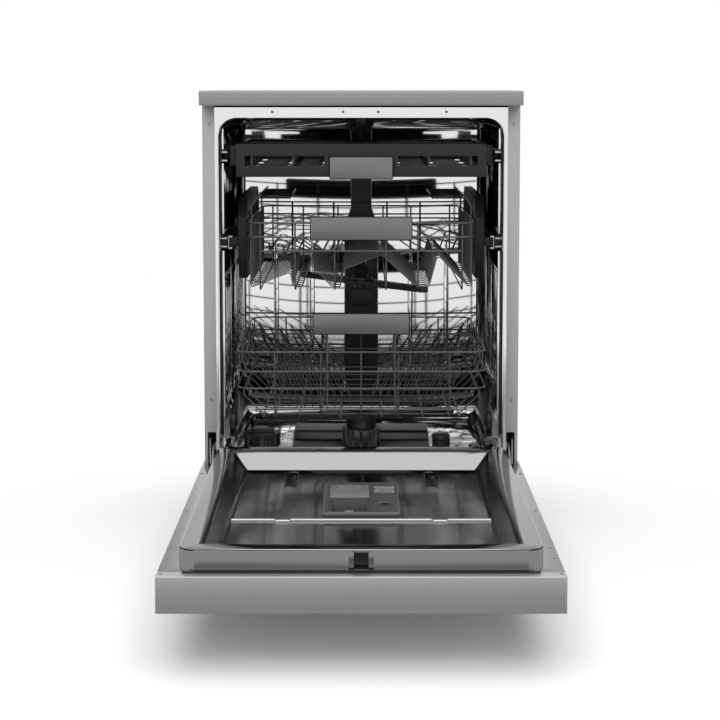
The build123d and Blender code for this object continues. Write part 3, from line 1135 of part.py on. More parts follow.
def tray_frame():
    """Shallow moulded tray with a windowed front, slotted floor and side runners."""
    low, high = TRAY_Z
    front_y = (TRAY_Y[0], TRAY_Y[0] + TRAY_FRONT_DEPTH)
    tray = block((-TRAY_HALF, TRAY_HALF), front_y, (low, high))
    for window in both_sides(block(TRAY_WINDOW_X, (front_y[0] - 1, front_y[1] + 1), TRAY_WINDOW_Z)):
        tray -= window
    tray -= block((-TRAY_HANDLE[0], TRAY_HANDLE[0]), (front_y[0] - 1, front_y[1] + 1),
                  (low - 1, TRAY_HANDLE[2]))
    wall = TRAY_WALL
    body_y = (front_y[1], TRAY_Y[1])
    shell = block((-TRAY_HALF, TRAY_HALF), body_y, (TRAY_FLOOR, TRAY_SIDE_TOP))
    shell -= block((-TRAY_HALF + wall, TRAY_HALF - wall), (body_y[0] + wall, body_y[1] - wall),
                   (TRAY_FLOOR + wall, TRAY_SIDE_TOP + 1))
    for window in both_sides(block(TRAY_WINDOW_X, (body_y[0] - 1, body_y[0] + wall + 1), TRAY_WINDOW_Z)):
        shell -= window
    slot_x, bridge = TRAY_SLOT
    pitch = 2 * (TRAY_HALF - 30) / (TRAY_SLOT_COLUMNS - 1)
    first_y = body_y[0] + 2 * bridge
    row_pitch = (body_y[1] - bridge - first_y) / TRAY_SLOT_ROWS
    for column in range(TRAY_SLOT_COLUMNS):
        x = -TRAY_HALF + 30 + column * pitch
        for row in range(TRAY_SLOT_ROWS):
            y = first_y + row * row_pitch
            shell -= block((x - slot_x, x + slot_x), (y, y + row_pitch - bridge),
                           (TRAY_FLOOR - 1, TRAY_FLOOR + wall + 1))
    runner = block(RUNNER_X, (TRAY_Y[0] + 20, TRAY_Y[1] - 10), RUNNER_Z)
    runner += block((RUNNER_X[1], TONGUE_X), (TRAY_Y[0] + 30, TRAY_Y[1] - 10), TONGUE_Z)
    for side in both_sides(runner):
        shell += side
    return tray + shell


def tray_inserts():
    """Comb rails that hold cutlery across the tray, left, middle and right."""
    combs = []
    floor = TRAY_FLOOR + TRAY_WALL
    y = (TRAY_Y[0] + TRAY_FRONT_DEPTH + TRAY_WALL, TRAY_Y[1] - TRAY_WALL)
    pitch = (y[1] - y[0]) / (COMB_NOTCHES + 0.5)
    for x in COMB_X:
        for side in (-1, 1):
            comb = block((side * x - 2, side * x + 2), y, (floor, floor + COMB_HEIGHT))
            for n in range(COMB_NOTCHES):
                notch_y = y[0] + (n + 0.5) * pitch
                comb -= block((side * x - 3, side * x + 3), (notch_y, notch_y + pitch / 2),
                              (floor + COMB_HEIGHT / 2, floor + COMB_HEIGHT + 1))
            combs.append(comb)
    return combs


def tray_handle():
    """Steel-faced grip in the tray's front."""
    half, low, high = TRAY_HANDLE
    plate = Pos(0, (low + high) / 2) * Rectangle(2 * half, high - low)
    return front_prism(fillet(plate.vertices(), 4), (TRAY_Y[0] - 4, TRAY_Y[0] + 6))


os.makedirs("parts", exist_ok=True)
right_panel = side_panel()
write("side_panel_right", right_panel)
write("side_panel_left", mirror(right_panel, Plane.YZ))
write("worktop", worktop())
write("rear_panel", rear_panel())
write("plinth", plinth())
write("tub", tub())
write("door_seal", door_seal())
write("base_tray", base_tray())
for name, x, y in (("front_left", -FOOT_X, FOOT_FRONT), ("front_right", FOOT_X, FOOT_FRONT),
                   ("rear_left", -FOOT_X, FOOT_REAR), ("rear_right", FOOT_X, FOOT_REAR)):
    write(f"foot_{name}", levelling_foot(x, y))
write("hinge_brackets", both_sides(hinge_bracket()) + both_sides(hinge_pin()))
write("door_springs", [half for piece in door_spring() for half in both_sides(piece)])

write("sump", sump())
write("filter_cylinder", filter_cylinder())
write("filter_plate", filter_plate())
write("lower_spray_arm", lower_spray_arm())
write("salt_cap", salt_cap())
write("softener_tank", softener_tank())
write("level_float", level_float())
write("circulation_pump", circulation_pump())
write("drain_pump", drain_pump())
write("inlet_valve", inlet_valve())
write("power_inlet", power_inlet())
write("spray_column", spray_column())
write("basket_ledges", both_sides(basket_ledge()))

write("rail_outer", both_sides(rail_outer()))
write("rail_middle", both_sides(rail_middle()))
write("height_adjusters", both_sides(height_adjuster()))
write("tray_rails", both_sides(tray_rail()))

write("door_panel", door_panel())
write("door_cap", door_cap())
write("door_liner", door_liner())
write("hinge_arms", both_sides(hinge_arm()) + both_sides(arm_mount()))
write("door_latch", door_latch())
write("dispenser_body", dispenser_body())
write("detergent_lid", detergent_lid())
write("rinse_aid_lid", rinse_aid_lid())
write("control_board", control_board())
write("door_lock", door_lock())
write("lock_bolt", lock_bolt())

write("lower_basket_wires", lower_basket_wires() + lower_handle_posts())
write("folding_tines_left", folding_tines(-1))
write("folding_tines_right", folding_tines(1))
write("lower_basket_handle", lower_basket_handle())
write("wheel_brackets", [wheel_bracket(side, y) for side in (-1, 1) for y in WHEEL_Y])
for side, word in ((-1, "left"), (1, "right")):
    write(f"wheel_front_{word}", wheel(side, WHEEL_Y[0]))
    write(f"wheel_rear_{word}", wheel(side, WHEEL_Y[1]))

write("upper_basket_wires", upper_basket_wires())
write("cup_shelf_left", cup_shelf(-1))
write("cup_shelf_right", cup_shelf(1))
write("upper_basket_handle", upper_basket_handle())
write("upper_feed_pipe", upper_feed_pipe())
write("upper_spray_arm", upper_spray_arm())

write("tray_frame", tray_frame())
write("tray_inserts", tray_inserts())
write("tray_handle", tray_handle())
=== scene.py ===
import json
import logging
import math
from dataclasses import dataclass
from enum import Enum
from typing import Callable, Iterable, Sequence, Union

import bmesh
import bpy
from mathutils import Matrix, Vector

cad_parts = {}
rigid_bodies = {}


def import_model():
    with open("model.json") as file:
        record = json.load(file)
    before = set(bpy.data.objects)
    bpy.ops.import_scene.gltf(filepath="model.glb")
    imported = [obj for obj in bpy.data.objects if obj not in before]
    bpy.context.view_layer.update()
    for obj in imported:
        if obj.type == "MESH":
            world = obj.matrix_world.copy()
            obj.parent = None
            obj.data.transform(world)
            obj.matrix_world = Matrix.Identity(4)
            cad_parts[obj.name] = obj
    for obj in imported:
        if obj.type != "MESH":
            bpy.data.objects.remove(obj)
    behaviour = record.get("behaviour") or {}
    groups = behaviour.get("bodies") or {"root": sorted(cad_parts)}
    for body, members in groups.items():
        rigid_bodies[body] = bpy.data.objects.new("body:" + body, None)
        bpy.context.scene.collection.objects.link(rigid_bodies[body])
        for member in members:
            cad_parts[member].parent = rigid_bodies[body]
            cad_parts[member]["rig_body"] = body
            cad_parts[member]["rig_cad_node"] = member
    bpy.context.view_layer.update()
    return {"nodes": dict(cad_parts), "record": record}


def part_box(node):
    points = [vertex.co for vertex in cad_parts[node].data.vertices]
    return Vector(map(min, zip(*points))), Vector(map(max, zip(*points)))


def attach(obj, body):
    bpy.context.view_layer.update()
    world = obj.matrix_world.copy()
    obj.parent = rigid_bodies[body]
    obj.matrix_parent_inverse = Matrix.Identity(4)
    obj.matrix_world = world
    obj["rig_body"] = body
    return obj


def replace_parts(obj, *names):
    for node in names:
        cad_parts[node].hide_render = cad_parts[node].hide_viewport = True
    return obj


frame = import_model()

# Sizes are in metres, in the part's own frame: X right, Y back, Z up from the floor.

LOG = logging.getLogger("dishwasher")

Point = tuple[float, float, float]
Pair = tuple[float, float]
Element = Union[bmesh.types.BMVert, bmesh.types.BMEdge, bmesh.types.BMFace]

TINY = 0.00001      # what counts as no distance at all
SQUARE = 0.9        # the least share of a normal that counts as facing along an axis
WIRE_ANGLE = 75.0   # wires are shaded smooth up to this angle, in degrees
ROUND_ANGLE = 60.0  # and domes and pressings up to this one
ROUNDS = 3          # how many faces go round a fold that is seen as round


class Side(Enum):
    """The two sides of the cabinet, as seen from the front."""

    LEFT = -1
    RIGHT = 1


class Axis(Enum):
    """The turn that lays a round piece's centre line along an axis."""

    X = (0.0, math.pi / 2, 0.0)
    Z = (0.0, 0.0, 0.0)


class Pick(Enum):
    """What a selection in edit mode is made of."""

    POINTS = "VERT"
    EDGES = "EDGE"
    FACES = "FACE"


class Grain(Enum):
    """How a surface's fine marks are stretched, as scales along X, Y and Z."""

    EVEN = (1.0, 1.0, 1.0)
    ACROSS = (0.02, 1.0, 1.0)
    LENGTHWISE = (1.0, 0.02, 1.0)
    RIPPLES = (0.0, 1.0, 0.01)


# ================= finishes =================


class MarksGroup:
    """Fine marks that several finishes share: a stretched noise that moves roughness and height."""

    NAME = "fine_marks"
    DETAIL = 3.0
    MIDDLE = 0.5    # of the noise, so that marks go both ways from a finish's roughness

    def tree(self) -> bpy.types.NodeTree:
        """Returns the node group, built the first time that it is asked for."""
        found = bpy.data.node_groups.get(self.NAME)
        return found if found else self.build()

    def build(self) -> bpy.types.NodeTree:
        """Builds the group.

        Returns:
            A shader group with inputs Stretch, Scale, Roughness and Spread, and outputs
            Roughness and Height.
        """
        tree = bpy.data.node_groups.new(self.NAME, "ShaderNodeTree")
        sockets = (("Stretch", "NodeSocketVector"), ("Scale", "NodeSocketFloat"),
                   ("Roughness", "NodeSocketFloat"), ("Spread", "NodeSocketFloat"))
        for name, kind in sockets:
            tree.interface.new_socket(name, in_out="INPUT", socket_type=kind)
        for name in ("Roughness", "Height"):
            tree.interface.new_socket(name, in_out="OUTPUT", socket_type="NodeSocketFloat")
        given = tree.nodes.new("NodeGroupInput")
        out = tree.nodes.new("NodeGroupOutput")
        place = tree.nodes.new("ShaderNodeTexCoord")
        stretch = tree.nodes.new("ShaderNodeVectorMath")
        stretch.operation = "MULTIPLY"
        noise = tree.nodes.new("ShaderNodeTexNoise")
        noise.inputs["Detail"].default_value = self.DETAIL
        spread = tree.nodes.new("ShaderNodeMath")
        spread.operation = "MULTIPLY_ADD"
        centred = tree.nodes.new("ShaderNodeMath")
        centred.operation = "SUBTRACT"
        centred.inputs[1].default_value = self.MIDDLE
        link = tree.links.new
        link(place.outputs["Object"], stretch.inputs[0])
        link(given.outputs["Stretch"], stretch.inputs[1])
        link(stretch.outputs["Vector"], noise.inputs["Vector"])
        link(given.outputs["Scale"], noise.inputs["Scale"])
        link(noise.outputs["Fac"], centred.inputs[0])
        link(centred.outputs[0], spread.inputs[0])
        link(given.outputs["Spread"], spread.inputs[1])
        link(given.outputs["Roughness"], spread.inputs[2])
        link(spread.outputs[0], out.inputs["Roughness"])
        link(noise.outputs["Fac"], out.inputs["Height"])
        return tree


@dataclass(frozen=True)
class Finish:
    """One surface finish, made into a material the first time that it is used."""

    name: str
    colour: tuple[float, float, float]
    metallic: float
    roughness: float
    grain: Grain = Grain.EVEN
    grain_scale: float = 400.0
    spread: float = 0.08
    relief: float = 0.0
    relief_height: float = 0.0002
    coat: float = 0.0
    coat_roughness: float = 0.1
    specular: float = 0.5

    def material(self) -> bpy.types.Material:
        """Makes the finish's material, or finds the one that was made before.

        Returns:
            The material.
        """
        found = bpy.data.materials.get(self.name)
        if found:
            return found
        made = bpy.data.materials.new(self.name)
        made.use_nodes = True
        nodes, link = made.node_tree.nodes, made.node_tree.links.new
        shader = nodes["Principled BSDF"]
        shader.inputs["Base Color"].default_value = (*self.colour, 1.0)
        shader.inputs["Metallic"].default_value = self.metallic
        shader.inputs["Specular IOR Level"].default_value = self.specular
        shader.inputs["Coat Weight"].default_value = self.coat
        shader.inputs["Coat Roughness"].default_value = self.coat_roughness
        marks = nodes.new("ShaderNodeGroup")
        marks.node_tree = MarksGroup().tree()
        marks.inputs["Stretch"].default_value = self.grain.value
        marks.inputs["Scale"].default_value = self.grain_scale
        marks.inputs["Roughness"].default_value = self.roughness
        marks.inputs["Spread"].default_value = self.spread
        link(marks.outputs["Roughness"], shader.inputs["Roughness"])
        if self.relief > 0:
            bump = nodes.new("ShaderNodeBump")
            bump.inputs["Strength"].default_value = self.relief
            bump.inputs["Distance"].default_value = self.relief_height
            link(marks.outputs["Height"], bump.inputs["Height"])
            link(bump.outputs["Normal"], shader.inputs["Normal"])
        return made


COOL = 1.01    # how much more blue than red a neutral finish has


def grey(level: float) -> tuple[float, float, float]:
    """Returns a neutral colour of one linear level, a touch cool."""
    return (level, level, level * COOL)


LAMINATE = Finish("finish_laminate_worktop", grey(0.25), 0.3, 0.42, Grain.ACROSS, 500.0)
CABINET_SHEET = Finish("finish_cabinet_sheet", grey(0.36), 0.35, 0.40)
PLINTH_SHEET = Finish("finish_plinth_sheet", grey(0.02), 0.0, 0.45)
TUB_STEEL = Finish("finish_bright_tub_steel", grey(0.78), 1.0, 0.035, Grain.RIPPLES, 42.0, 0.02,
                   relief=1.0, relief_height=0.0009)
LINER_STEEL = Finish("finish_satin_liner_steel", grey(0.22), 1.0, 0.12, Grain.ACROSS, 700.0, 0.04)
# The crease is the liner's own steel; its much paler colour is a painted highlight along the step.
CREASE_HIGHLIGHT_STEEL = Finish("finish_crease_steel", grey(0.60), 1.0, 0.25)
DOOR_SKIN = Finish("finish_door_skin", grey(0.42), 0.9, 0.38, Grain.ACROSS, 700.0, 0.08)
SEAL = Finish("finish_seal_rubber", grey(0.004), 0.0, 0.6)
HARDWARE = Finish("finish_zinc_hardware", grey(0.16), 0.9, 0.4)
SCREW = Finish("finish_screw", grey(0.26), 0.9, 0.35)
SPRING = Finish("finish_spring_steel", grey(0.3), 1.0, 0.35)
BLACK_PLASTIC = Finish("finish_black_plastic", grey(0.008), 0.0, 0.38, specular=0.22)
DARK_PLASTIC = Finish("finish_dark_plastic", grey(0.016), 0.0, 0.34, specular=0.3)
MID_PLASTIC = Finish("finish_mid_plastic", grey(0.05), 0.0, 0.33)
PALE_PLASTIC = Finish("finish_pale_plastic", grey(0.17), 0.0, 0.3, coat=0.2)
FILTER_STEEL = Finish("finish_filter_steel", grey(0.15), 1.0, 0.38)
WIRE_COAT = Finish("finish_wire_coat", grey(0.10), 0.4, 0.3)
TINE_COAT = Finish("finish_tine_coat", grey(0.05), 0.3, 0.3)
SHELF_COAT = Finish("finish_shelf_wire_coat", grey(0.012), 0.1, 0.35)
GRIP_STEEL = Finish("finish_grip_steel", grey(0.20), 0.9, 0.36, Grain.ACROSS, 900.0, 0.1)
RUNNER_STEEL = Finish("finish_runner_steel", grey(0.45), 1.0, 0.25, Grain.LENGTHWISE, 400.0)

FINISH_OF_SLOT = {
    "worktop": LAMINATE, "cabinet_sheet": CABINET_SHEET, "plinth_sheet": PLINTH_SHEET,
    "tub_steel": TUB_STEEL, "liner_steel": LINER_STEEL, "door_skin": DOOR_SKIN,
    "seal_rubber": SEAL, "bracket_steel": HARDWARE, "spring_steel": SPRING,
    "base_plastic": BLACK_PLASTIC, "dark_plastic": DARK_PLASTIC, "mid_plastic": MID_PLASTIC,
    "pale_plastic": PALE_PLASTIC, "filter_steel": FILTER_STEEL, "basket_wire": WIRE_COAT,
    "shelf_wire": SHELF_COAT, "handle_steel": GRIP_STEEL, "rail_steel": RUNNER_STEEL,
    "foot_plastic": BLACK_PLASTIC,
}


# ================= bench =================


def looks_up(face: bmesh.types.BMFace) -> bool:
    """Tells whether a face looks up."""
    return face.normal.z > SQUARE


def looks_front(face: bmesh.types.BMFace) -> bool:
    """Tells whether a face looks to the front."""
    return face.normal.y < -SQUARE


class Bench:
    """The modelling bench: primitives, edit operators and finishing, one piece at a time."""

    def clear(self) -> None:
        """Leaves edit mode and deselects everything."""
        if bpy.context.object and bpy.context.object.mode != "OBJECT":
            bpy.ops.object.mode_set(mode="OBJECT")
        bpy.ops.object.select_all(action="DESELECT")

    def take(self, obj: bpy.types.Object) -> None:
        """Makes a piece the only selected and active one.

        Args:
            obj: the piece.
        """
        self.clear()
        obj.select_set(True)
        bpy.context.view_layer.objects.active = obj

    def settle(self, obj: bpy.types.Object) -> bpy.types.Object:
        """Moves a piece's place, turn and scale into its mesh.

        Args:
            obj: the piece.

        Returns:
            The piece, with its origin at the origin of the frame.
        """
        self.take(obj)
        bpy.ops.object.transform_apply(location=True, rotation=True, scale=True)
        return obj

    def box(self, name: str, low: Sequence[float], high: Sequence[float]) -> bpy.types.Object:
        """Adds a box between two corners.

        Args:
            name: the piece's name.
            low: its lowest corner.
            high: its highest corner.

        Returns:
            The box, with its place in its mesh.
        """
        self.clear()
        low, high = Vector(low), Vector(high)
        bpy.ops.mesh.primitive_cube_add(size=1, location=(low + high) / 2)
        made = bpy.context.object
        made.name = name
        made.scale = high - low
        return self.settle(made)

    def rod(self, name: str, centre: Sequence[float], radius: float, length: float,
            axis: Axis = Axis.Z, sides: int = 32) -> bpy.types.Object:
        """Adds a cylinder.

        Args:
            name: the piece's name.
            centre: the middle of the cylinder.
            radius: its radius.
            length: its length along the axis.
            axis: the direction of its centre line.
            sides: how many faces go round it.

        Returns:
            The cylinder, with its place in its mesh.
        """
        self.clear()
        bpy.ops.mesh.primitive_cylinder_add(vertices=sides, radius=radius, depth=length,
                                            location=centre, rotation=axis.value)
        made = bpy.context.object
        made.name = name
        return self.settle(made)

    def wire(self, name: str, points: Sequence[Point], radius: float,
             closed: bool = False) -> bpy.types.Object:
        """Draws a path and turns it into a round wire.

        Args:
            name: the piece's name.
            points: the bends of the wire's centre line.
            radius: the wire's radius.
            closed: whether its ends meet.

        Returns:
            The wire as a closed mesh.
        """
        self.clear()
        bpy.ops.curve.primitive_nurbs_path_add()
        made = bpy.context.object
        made.name = name
        curve = made.data
        curve.splines.clear()
        spline = curve.splines.new("POLY")
        spline.points.add(len(points) - 1)
        for bend, place in zip(spline.points, points):
            bend.co = (*place, 1.0)
        spline.use_cyclic_u = closed
        curve.bevel_depth = radius
        curve.bevel_resolution = 1
        curve.use_fill_caps = True
        bpy.ops.object.convert(target="MESH")
        made = bpy.context.object
        made.location = (0, 0, 0)
        return made

    def ball(self, name: str, centre: Sequence[float], half: Sequence[float],
             segments: int = 32) -> bpy.types.Object:
        """Adds a ball stretched to three half sizes.

        Args:
            name: the piece's name.
            centre: its middle.
            half: its half sizes along X, Y and Z.
            segments: how many faces go round it.

        Returns:
            The ball, with its place in its mesh.
        """
        self.clear()
        bpy.ops.mesh.primitive_uv_sphere_add(segments=segments, ring_count=segments // 2, radius=1,
                                             location=centre)
        made = bpy.context.object
        made.name = name
        made.scale = half
        return self.settle(made)

    def copy(self, obj: bpy.types.Object, name: str) -> bpy.types.Object:
        """Copies a piece, with a mesh of its own.

        Args:
            obj: the piece.
            name: the copy's name.

        Returns:
            The copy.
        """
        self.clear()
        made = obj.copy()
        made.data = obj.data.copy()
        made.name = name
        bpy.context.scene.collection.objects.link(made)
        return made

    def place(self, pattern: bpy.types.Object, name: str, offset: Sequence[float]) -> bpy.types.Object:
        """Copies a pattern and moves the copy.

        Args:
            pattern: the piece that is copied.
            name: the copy's name.
            offset: how far the copy is moved.

        Returns:
            The copy.
        """
        made = self.copy(pattern, name)
        made.location = offset
        return self.settle(made)

    def repeat(self, pattern: bpy.types.Object, label: str,
               offsets: Iterable[Sequence[float]]) -> list[bpy.types.Object]:
        """Copies a pattern to every offset, and removes the pattern.

        Args:
            pattern: the piece that repeats.
            label: the start of each copy's name, which a number ends.
            offsets: how far each copy is moved.

        Returns:
            The copies.
        """
        made = [self.place(pattern, f"{label}_{number}", offset) for number, offset in enumerate(offsets)]
        bpy.data.objects.remove(pattern)
        return made

    def join(self, name: str, pieces: Sequence[bpy.types.Object]) -> bpy.types.Object:
        """Joins several pieces into one, which keeps all their shells.

        Args:
            name: the new piece's name.
            pieces: what goes into it.

        Returns:
            The new piece.
        """
        self.clear()
        for piece in pieces:
            piece.select_set(True)
        bpy.context.view_layer.objects.active = pieces[0]
        bpy.ops.object.join()
        made = bpy.context.object
        made.name = name
        return made

    def mirrored(self, obj: bpy.types.Object, name: str) -> bpy.types.Object:
        """Copies a piece to the other side of the middle plane, with its faces still outwards.

        Args:
            obj: the piece.
            name: the copy's name.

        Returns:
            The mirrored copy.
        """
        made = self.copy(obj, name)
        self.take(made)
        bpy.ops.transform.mirror(constraint_axis=(True, False, False), orient_type="GLOBAL",
                                 center_override=(0, 0, 0))
        self.settle(made)
        bpy.ops.object.mode_set(mode="EDIT")
        bpy.ops.mesh.select_all(action="SELECT")
        bpy.ops.mesh.normals_make_consistent(inside=False)
        self.clear()
        return made

    def select(self, obj: bpy.types.Object, pick: Pick, test: Callable[[Element], bool]) -> None:
        """Enters edit mode with only the elements that pass a test selected.

        Args:
            obj: the piece.
            pick: whether points, edges or faces are tested.
            test: tells whether one of them is selected.
        """
        self.take(obj)
        bpy.ops.object.mode_set(mode="EDIT")
        bpy.ops.mesh.select_mode(type=pick.value)
        bpy.ops.mesh.select_all(action="DESELECT")
        mesh = bmesh.from_edit_mesh(obj.data)
        elements = {Pick.POINTS: mesh.verts, Pick.EDGES: mesh.edges, Pick.FACES: mesh.faces}[pick]
        for element in elements:
            element.select_set(test(element))
        bmesh.update_edit_mesh(obj.data)

    def dish(self, obj: bpy.types.Object, border: float, slope: float, depth: float) -> None:
        """Sinks the middle of a piece's top behind a flat border.

        Args:
            obj: the piece.
            border: how wide the border is.
            slope: how far the wall inside it leans.
            depth: how deep the middle lies.
        """
        self.select(obj, Pick.FACES, looks_up)
        bpy.ops.mesh.inset(thickness=border, depth=0)
        bpy.ops.mesh.inset(thickness=slope, depth=-depth)
        self.clear()

    def soften(self, obj: bpy.types.Object, width: float, segments: int = 2,
               angle: float = 35.0) -> None:
        """Rounds every sharp edge, with a bevel that is applied.

        Args:
            obj: the piece.
            width: how far the bevel reaches from the edge.
            segments: how many faces go round it.
            angle: edges sharper than this, in degrees, are rounded.
        """
        self.take(obj)
        bevel = obj.modifiers.new("rounded_edges", "BEVEL")
        bevel.width = width
        bevel.segments = segments
        bevel.limit_method = "ANGLE"
        bevel.angle_limit = math.radians(angle)
        bpy.ops.object.modifier_apply(modifier=bevel.name)

    def finish(self, obj: bpy.types.Object, finish: Finish, body: str, slot: str,
               angle: float = 40.0) -> bpy.types.Object:
        """Shades, dresses and mounts a piece.

        Args:
            obj: the piece.
            finish: the finish that it gets.
            body: the moving body that it rides on.
            slot: the record's material slot that it belongs to; not used.
            angle: edges sharper than this, in degrees, stay crisp.

        Returns:
            The piece.
        """
        self.take(obj)
        bpy.ops.object.shade_smooth_by_angle(angle=math.radians(angle))
        obj.data.materials.clear()
        obj.data.materials.append(finish.material())
        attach(obj, body)
        return obj


BENCH = Bench()


# ================= skins of the frame's solids =================

# The record's slot of each solid, the solids that are darker than their slot's finish, and how far
# the edges of a solid's copy are rounded.
SLOT_OF_NODE = {part["node"]: part["material_slot"] for part in frame["record"]["subparts"]}

FINISH_OF_NODE = {"height_adjusters": BLACK_PLASTIC, "wheel_brackets": BLACK_PLASTIC}

EDGE_OF_NODE = {
    "door_liner": 0.0006, "door_panel": 0.0004, "door_latch": 0.0004, "side_panel_left": 0.0008,
    "side_panel_right": 0.0008, "tray_frame": 0.0008, "dispenser_body": 0.0006,
    "detergent_lid": 0.0005, "rinse_aid_lid": 0.0005, "height_adjusters": 0.0008,
    "spray_column": 0.0012, "lower_spray_arm": 0.001, "upper_spray_arm": 0.001,
    "filter_plate": 0.0006, "salt_cap": 0.0006, "hinge_arms": 0.0005, "rail_outer": 0.0004,
    "rail_middle": 0.0004,
}


@dataclass
class CadSkin:
    """A smooth, dressed copy of one of the frame's own solids."""

    node: str
    angle: float = 40.0
    slim: float = 0.0
    # Triangles that meet flatter than this, in radians, become one face, whatever its outline.
    flat: float = 0.01
    any_shape: float = 3.1

    def build(self) -> bpy.types.Object:
        """Copies the solid, closes its seams, rounds its edges and dresses it.

        Returns:
            The copy, which stands for the solid.
        """
        source = frame["nodes"][self.node]
        body = source["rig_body"]
        BENCH.clear()
        copy = source.copy()
        copy.data = source.data.copy()
        copy.name = f"{self.node}_skin"
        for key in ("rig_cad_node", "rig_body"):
            del copy[key]
        copy.parent = None
        bpy.context.scene.collection.objects.link(copy)
        BENCH.take(copy)
        bpy.ops.object.mode_set(mode="EDIT")
        bpy.ops.mesh.select_all(action="SELECT")
        bpy.ops.mesh.remove_doubles(threshold=TINY)
        bpy.ops.mesh.tris_convert_to_quads(face_threshold=self.flat, shape_threshold=self.any_shape)
        if self.slim > 0:
            bpy.ops.transform.shrink_fatten(value=-self.slim)
        bpy.ops.object.mode_set(mode="OBJECT")
        self.reshape(copy)
        if self.node in EDGE_OF_NODE:
            BENCH.soften(copy, EDGE_OF_NODE[self.node])
        slot = SLOT_OF_NODE[self.node]
        finish = FINISH_OF_NODE.get(self.node, FINISH_OF_SLOT[slot])
        BENCH.finish(copy, finish, body, slot, self.angle)
        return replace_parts(copy, self.node)

    def reshape(self, copy: bpy.types.Object) -> None:
        """Leaves the solid's shape as it is."""


@dataclass
class ShelfSkin(CadSkin):
    """A cup shelf's skin, with its wires drawn a little finer."""

    angle: float = WIRE_ANGLE
    slim: float = 0.0005


@dataclass
class LinerSkin(CadSkin):
    """The inner door's skin, with the raised pan's outer edge folded tighter."""

    # The pan's outline and the shoulder that the solid gives it, and the fold that takes its place.
    half: float = 0.269
    pan_y: Pair = (-0.703, -0.051)
    rim_z: float = 0.183
    shoulder: float = 0.008
    corner: float = 0.026
    reach: float = 0.0005
    fold: float = 0.0022

    def span(self) -> Pair:
        """Returns the middle of the pan's depth and half of that depth."""
        y0, y1 = self.pan_y
        return (y0 + y1) / 2, (y1 - y0) / 2

    def reshape(self, copy: bpy.types.Object) -> None:
        """Moves the two rings of the pan's shoulder together, towards its outer edge.

        Args:
            copy: the inner door's skin.
        """
        middle, deep = self.span()
        self.ring(copy, self.rim_z)
        bpy.ops.transform.resize(value=((self.half - self.fold) / (self.half - self.shoulder),
                                        (deep - self.fold) / (deep - self.shoulder), 1),
                                 center_override=(0, middle, self.rim_z))
        self.ring(copy, self.rim_z - self.shoulder)
        bpy.ops.transform.translate(value=(0, 0, self.shoulder - self.fold))
        BENCH.clear()

    def ring(self, copy: bpy.types.Object, height: float) -> None:
        """Selects, in edit mode, the points along the pan's outer edge at one height.

        Args:
            copy: the inner door's skin.
            height: the height of the ring.
        """
        middle, deep = self.span()
        inner = self.corner + self.reach

        def outside(vert: bmesh.types.BMVert) -> bool:
            """Tells whether a point lies on the ring."""
            x, y, z = vert.co
            return abs(z - height) < TINY and (abs(x) > self.half - inner or
                                               abs(y - middle) > deep - inner)

        BENCH.select(copy, Pick.POINTS, outside)


SKIN_OF_NODE = {"door_liner": LinerSkin, "cup_shelf_left": ShelfSkin, "cup_shelf_right": ShelfSkin}


# ================= sub-assemblies =================


def low(node: str) -> Vector:
    """Returns the lowest corner of one of the frame's solids."""
    return Vector(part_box(node)[0])


def high(node: str) -> Vector:
    """Returns the highest corner of one of the frame's solids."""
    return Vector(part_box(node)[1])


@dataclass
class Screws:
    """Small dome-headed screws with a recess."""

    head: float = 0.0027
    rise: float = 0.0005
    recess: float = 0.0004
    sides: int = 16
    shoulder_share: float = 0.55
    dome_share: float = 0.3
    bevel_share: float = 0.12

    def pattern(self) -> bpy.types.Object:
        """Models one screw head that lies on the floor plane and faces up.

        Returns:
            The screw head.
        """
        made = BENCH.rod("screw_pattern", (0, 0, self.rise / 2), self.head, self.rise, sides=self.sides)
        BENCH.select(made, Pick.FACES, looks_up)
        bpy.ops.mesh.inset(thickness=self.head * self.shoulder_share, depth=self.rise * self.dome_share)
        bpy.ops.mesh.inset(thickness=self.head * self.bevel_share, depth=-self.recess)
        BENCH.clear()
        return made

    def drive(self, label: str, places: Iterable[Point], body: str, facing_front: bool) -> None:
        """Models one screw and copies it to every place.

        Args:
            label: the start of each copy's name.
            places: the points that the heads sit on.
            body: the body that they ride on.
            facing_front: whether the heads face the front, and not up.
        """
        pattern = self.pattern()
        pattern.rotation_euler = (math.pi / 2 if facing_front else 0.0, 0, 0)
        BENCH.settle(pattern)
        for screw in BENCH.repeat(pattern, label, places):
            BENCH.finish(screw, SCREW, body, "bracket_steel")


@dataclass
class Worktop:
    """Laminated top with a rounded front edge over a stepped front face."""

    edge: float = 0.0035
    rounds: int = 4
    lip: float = 0.0025
    step: float = 0.0012
    soft: float = 0.0005

    def build(self) -> None:
        """Models the top, which stands for the frame's plain one."""
        a, b = low("worktop"), high("worktop")
        top = BENCH.box("worktop_board", (a.x, a.y + self.step, a.z), b)
        BENCH.select(top, Pick.FACES, looks_front)
        bpy.ops.mesh.inset(thickness=self.lip, depth=0)
        bpy.ops.mesh.extrude_region_move(TRANSFORM_OT_translate={"value": (0, -self.step, 0)})
        BENCH.clear()
        BENCH.select(top, Pick.EDGES, lambda edge: all(v.co.z > b.z - TINY for v in edge.verts))
        bpy.ops.mesh.bevel(offset=self.edge, segments=self.rounds)
        BENCH.clear()
        BENCH.soften(top, self.soft)
        BENCH.finish(top, LAMINATE, "cabinet", "worktop")
        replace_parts(top, "worktop")


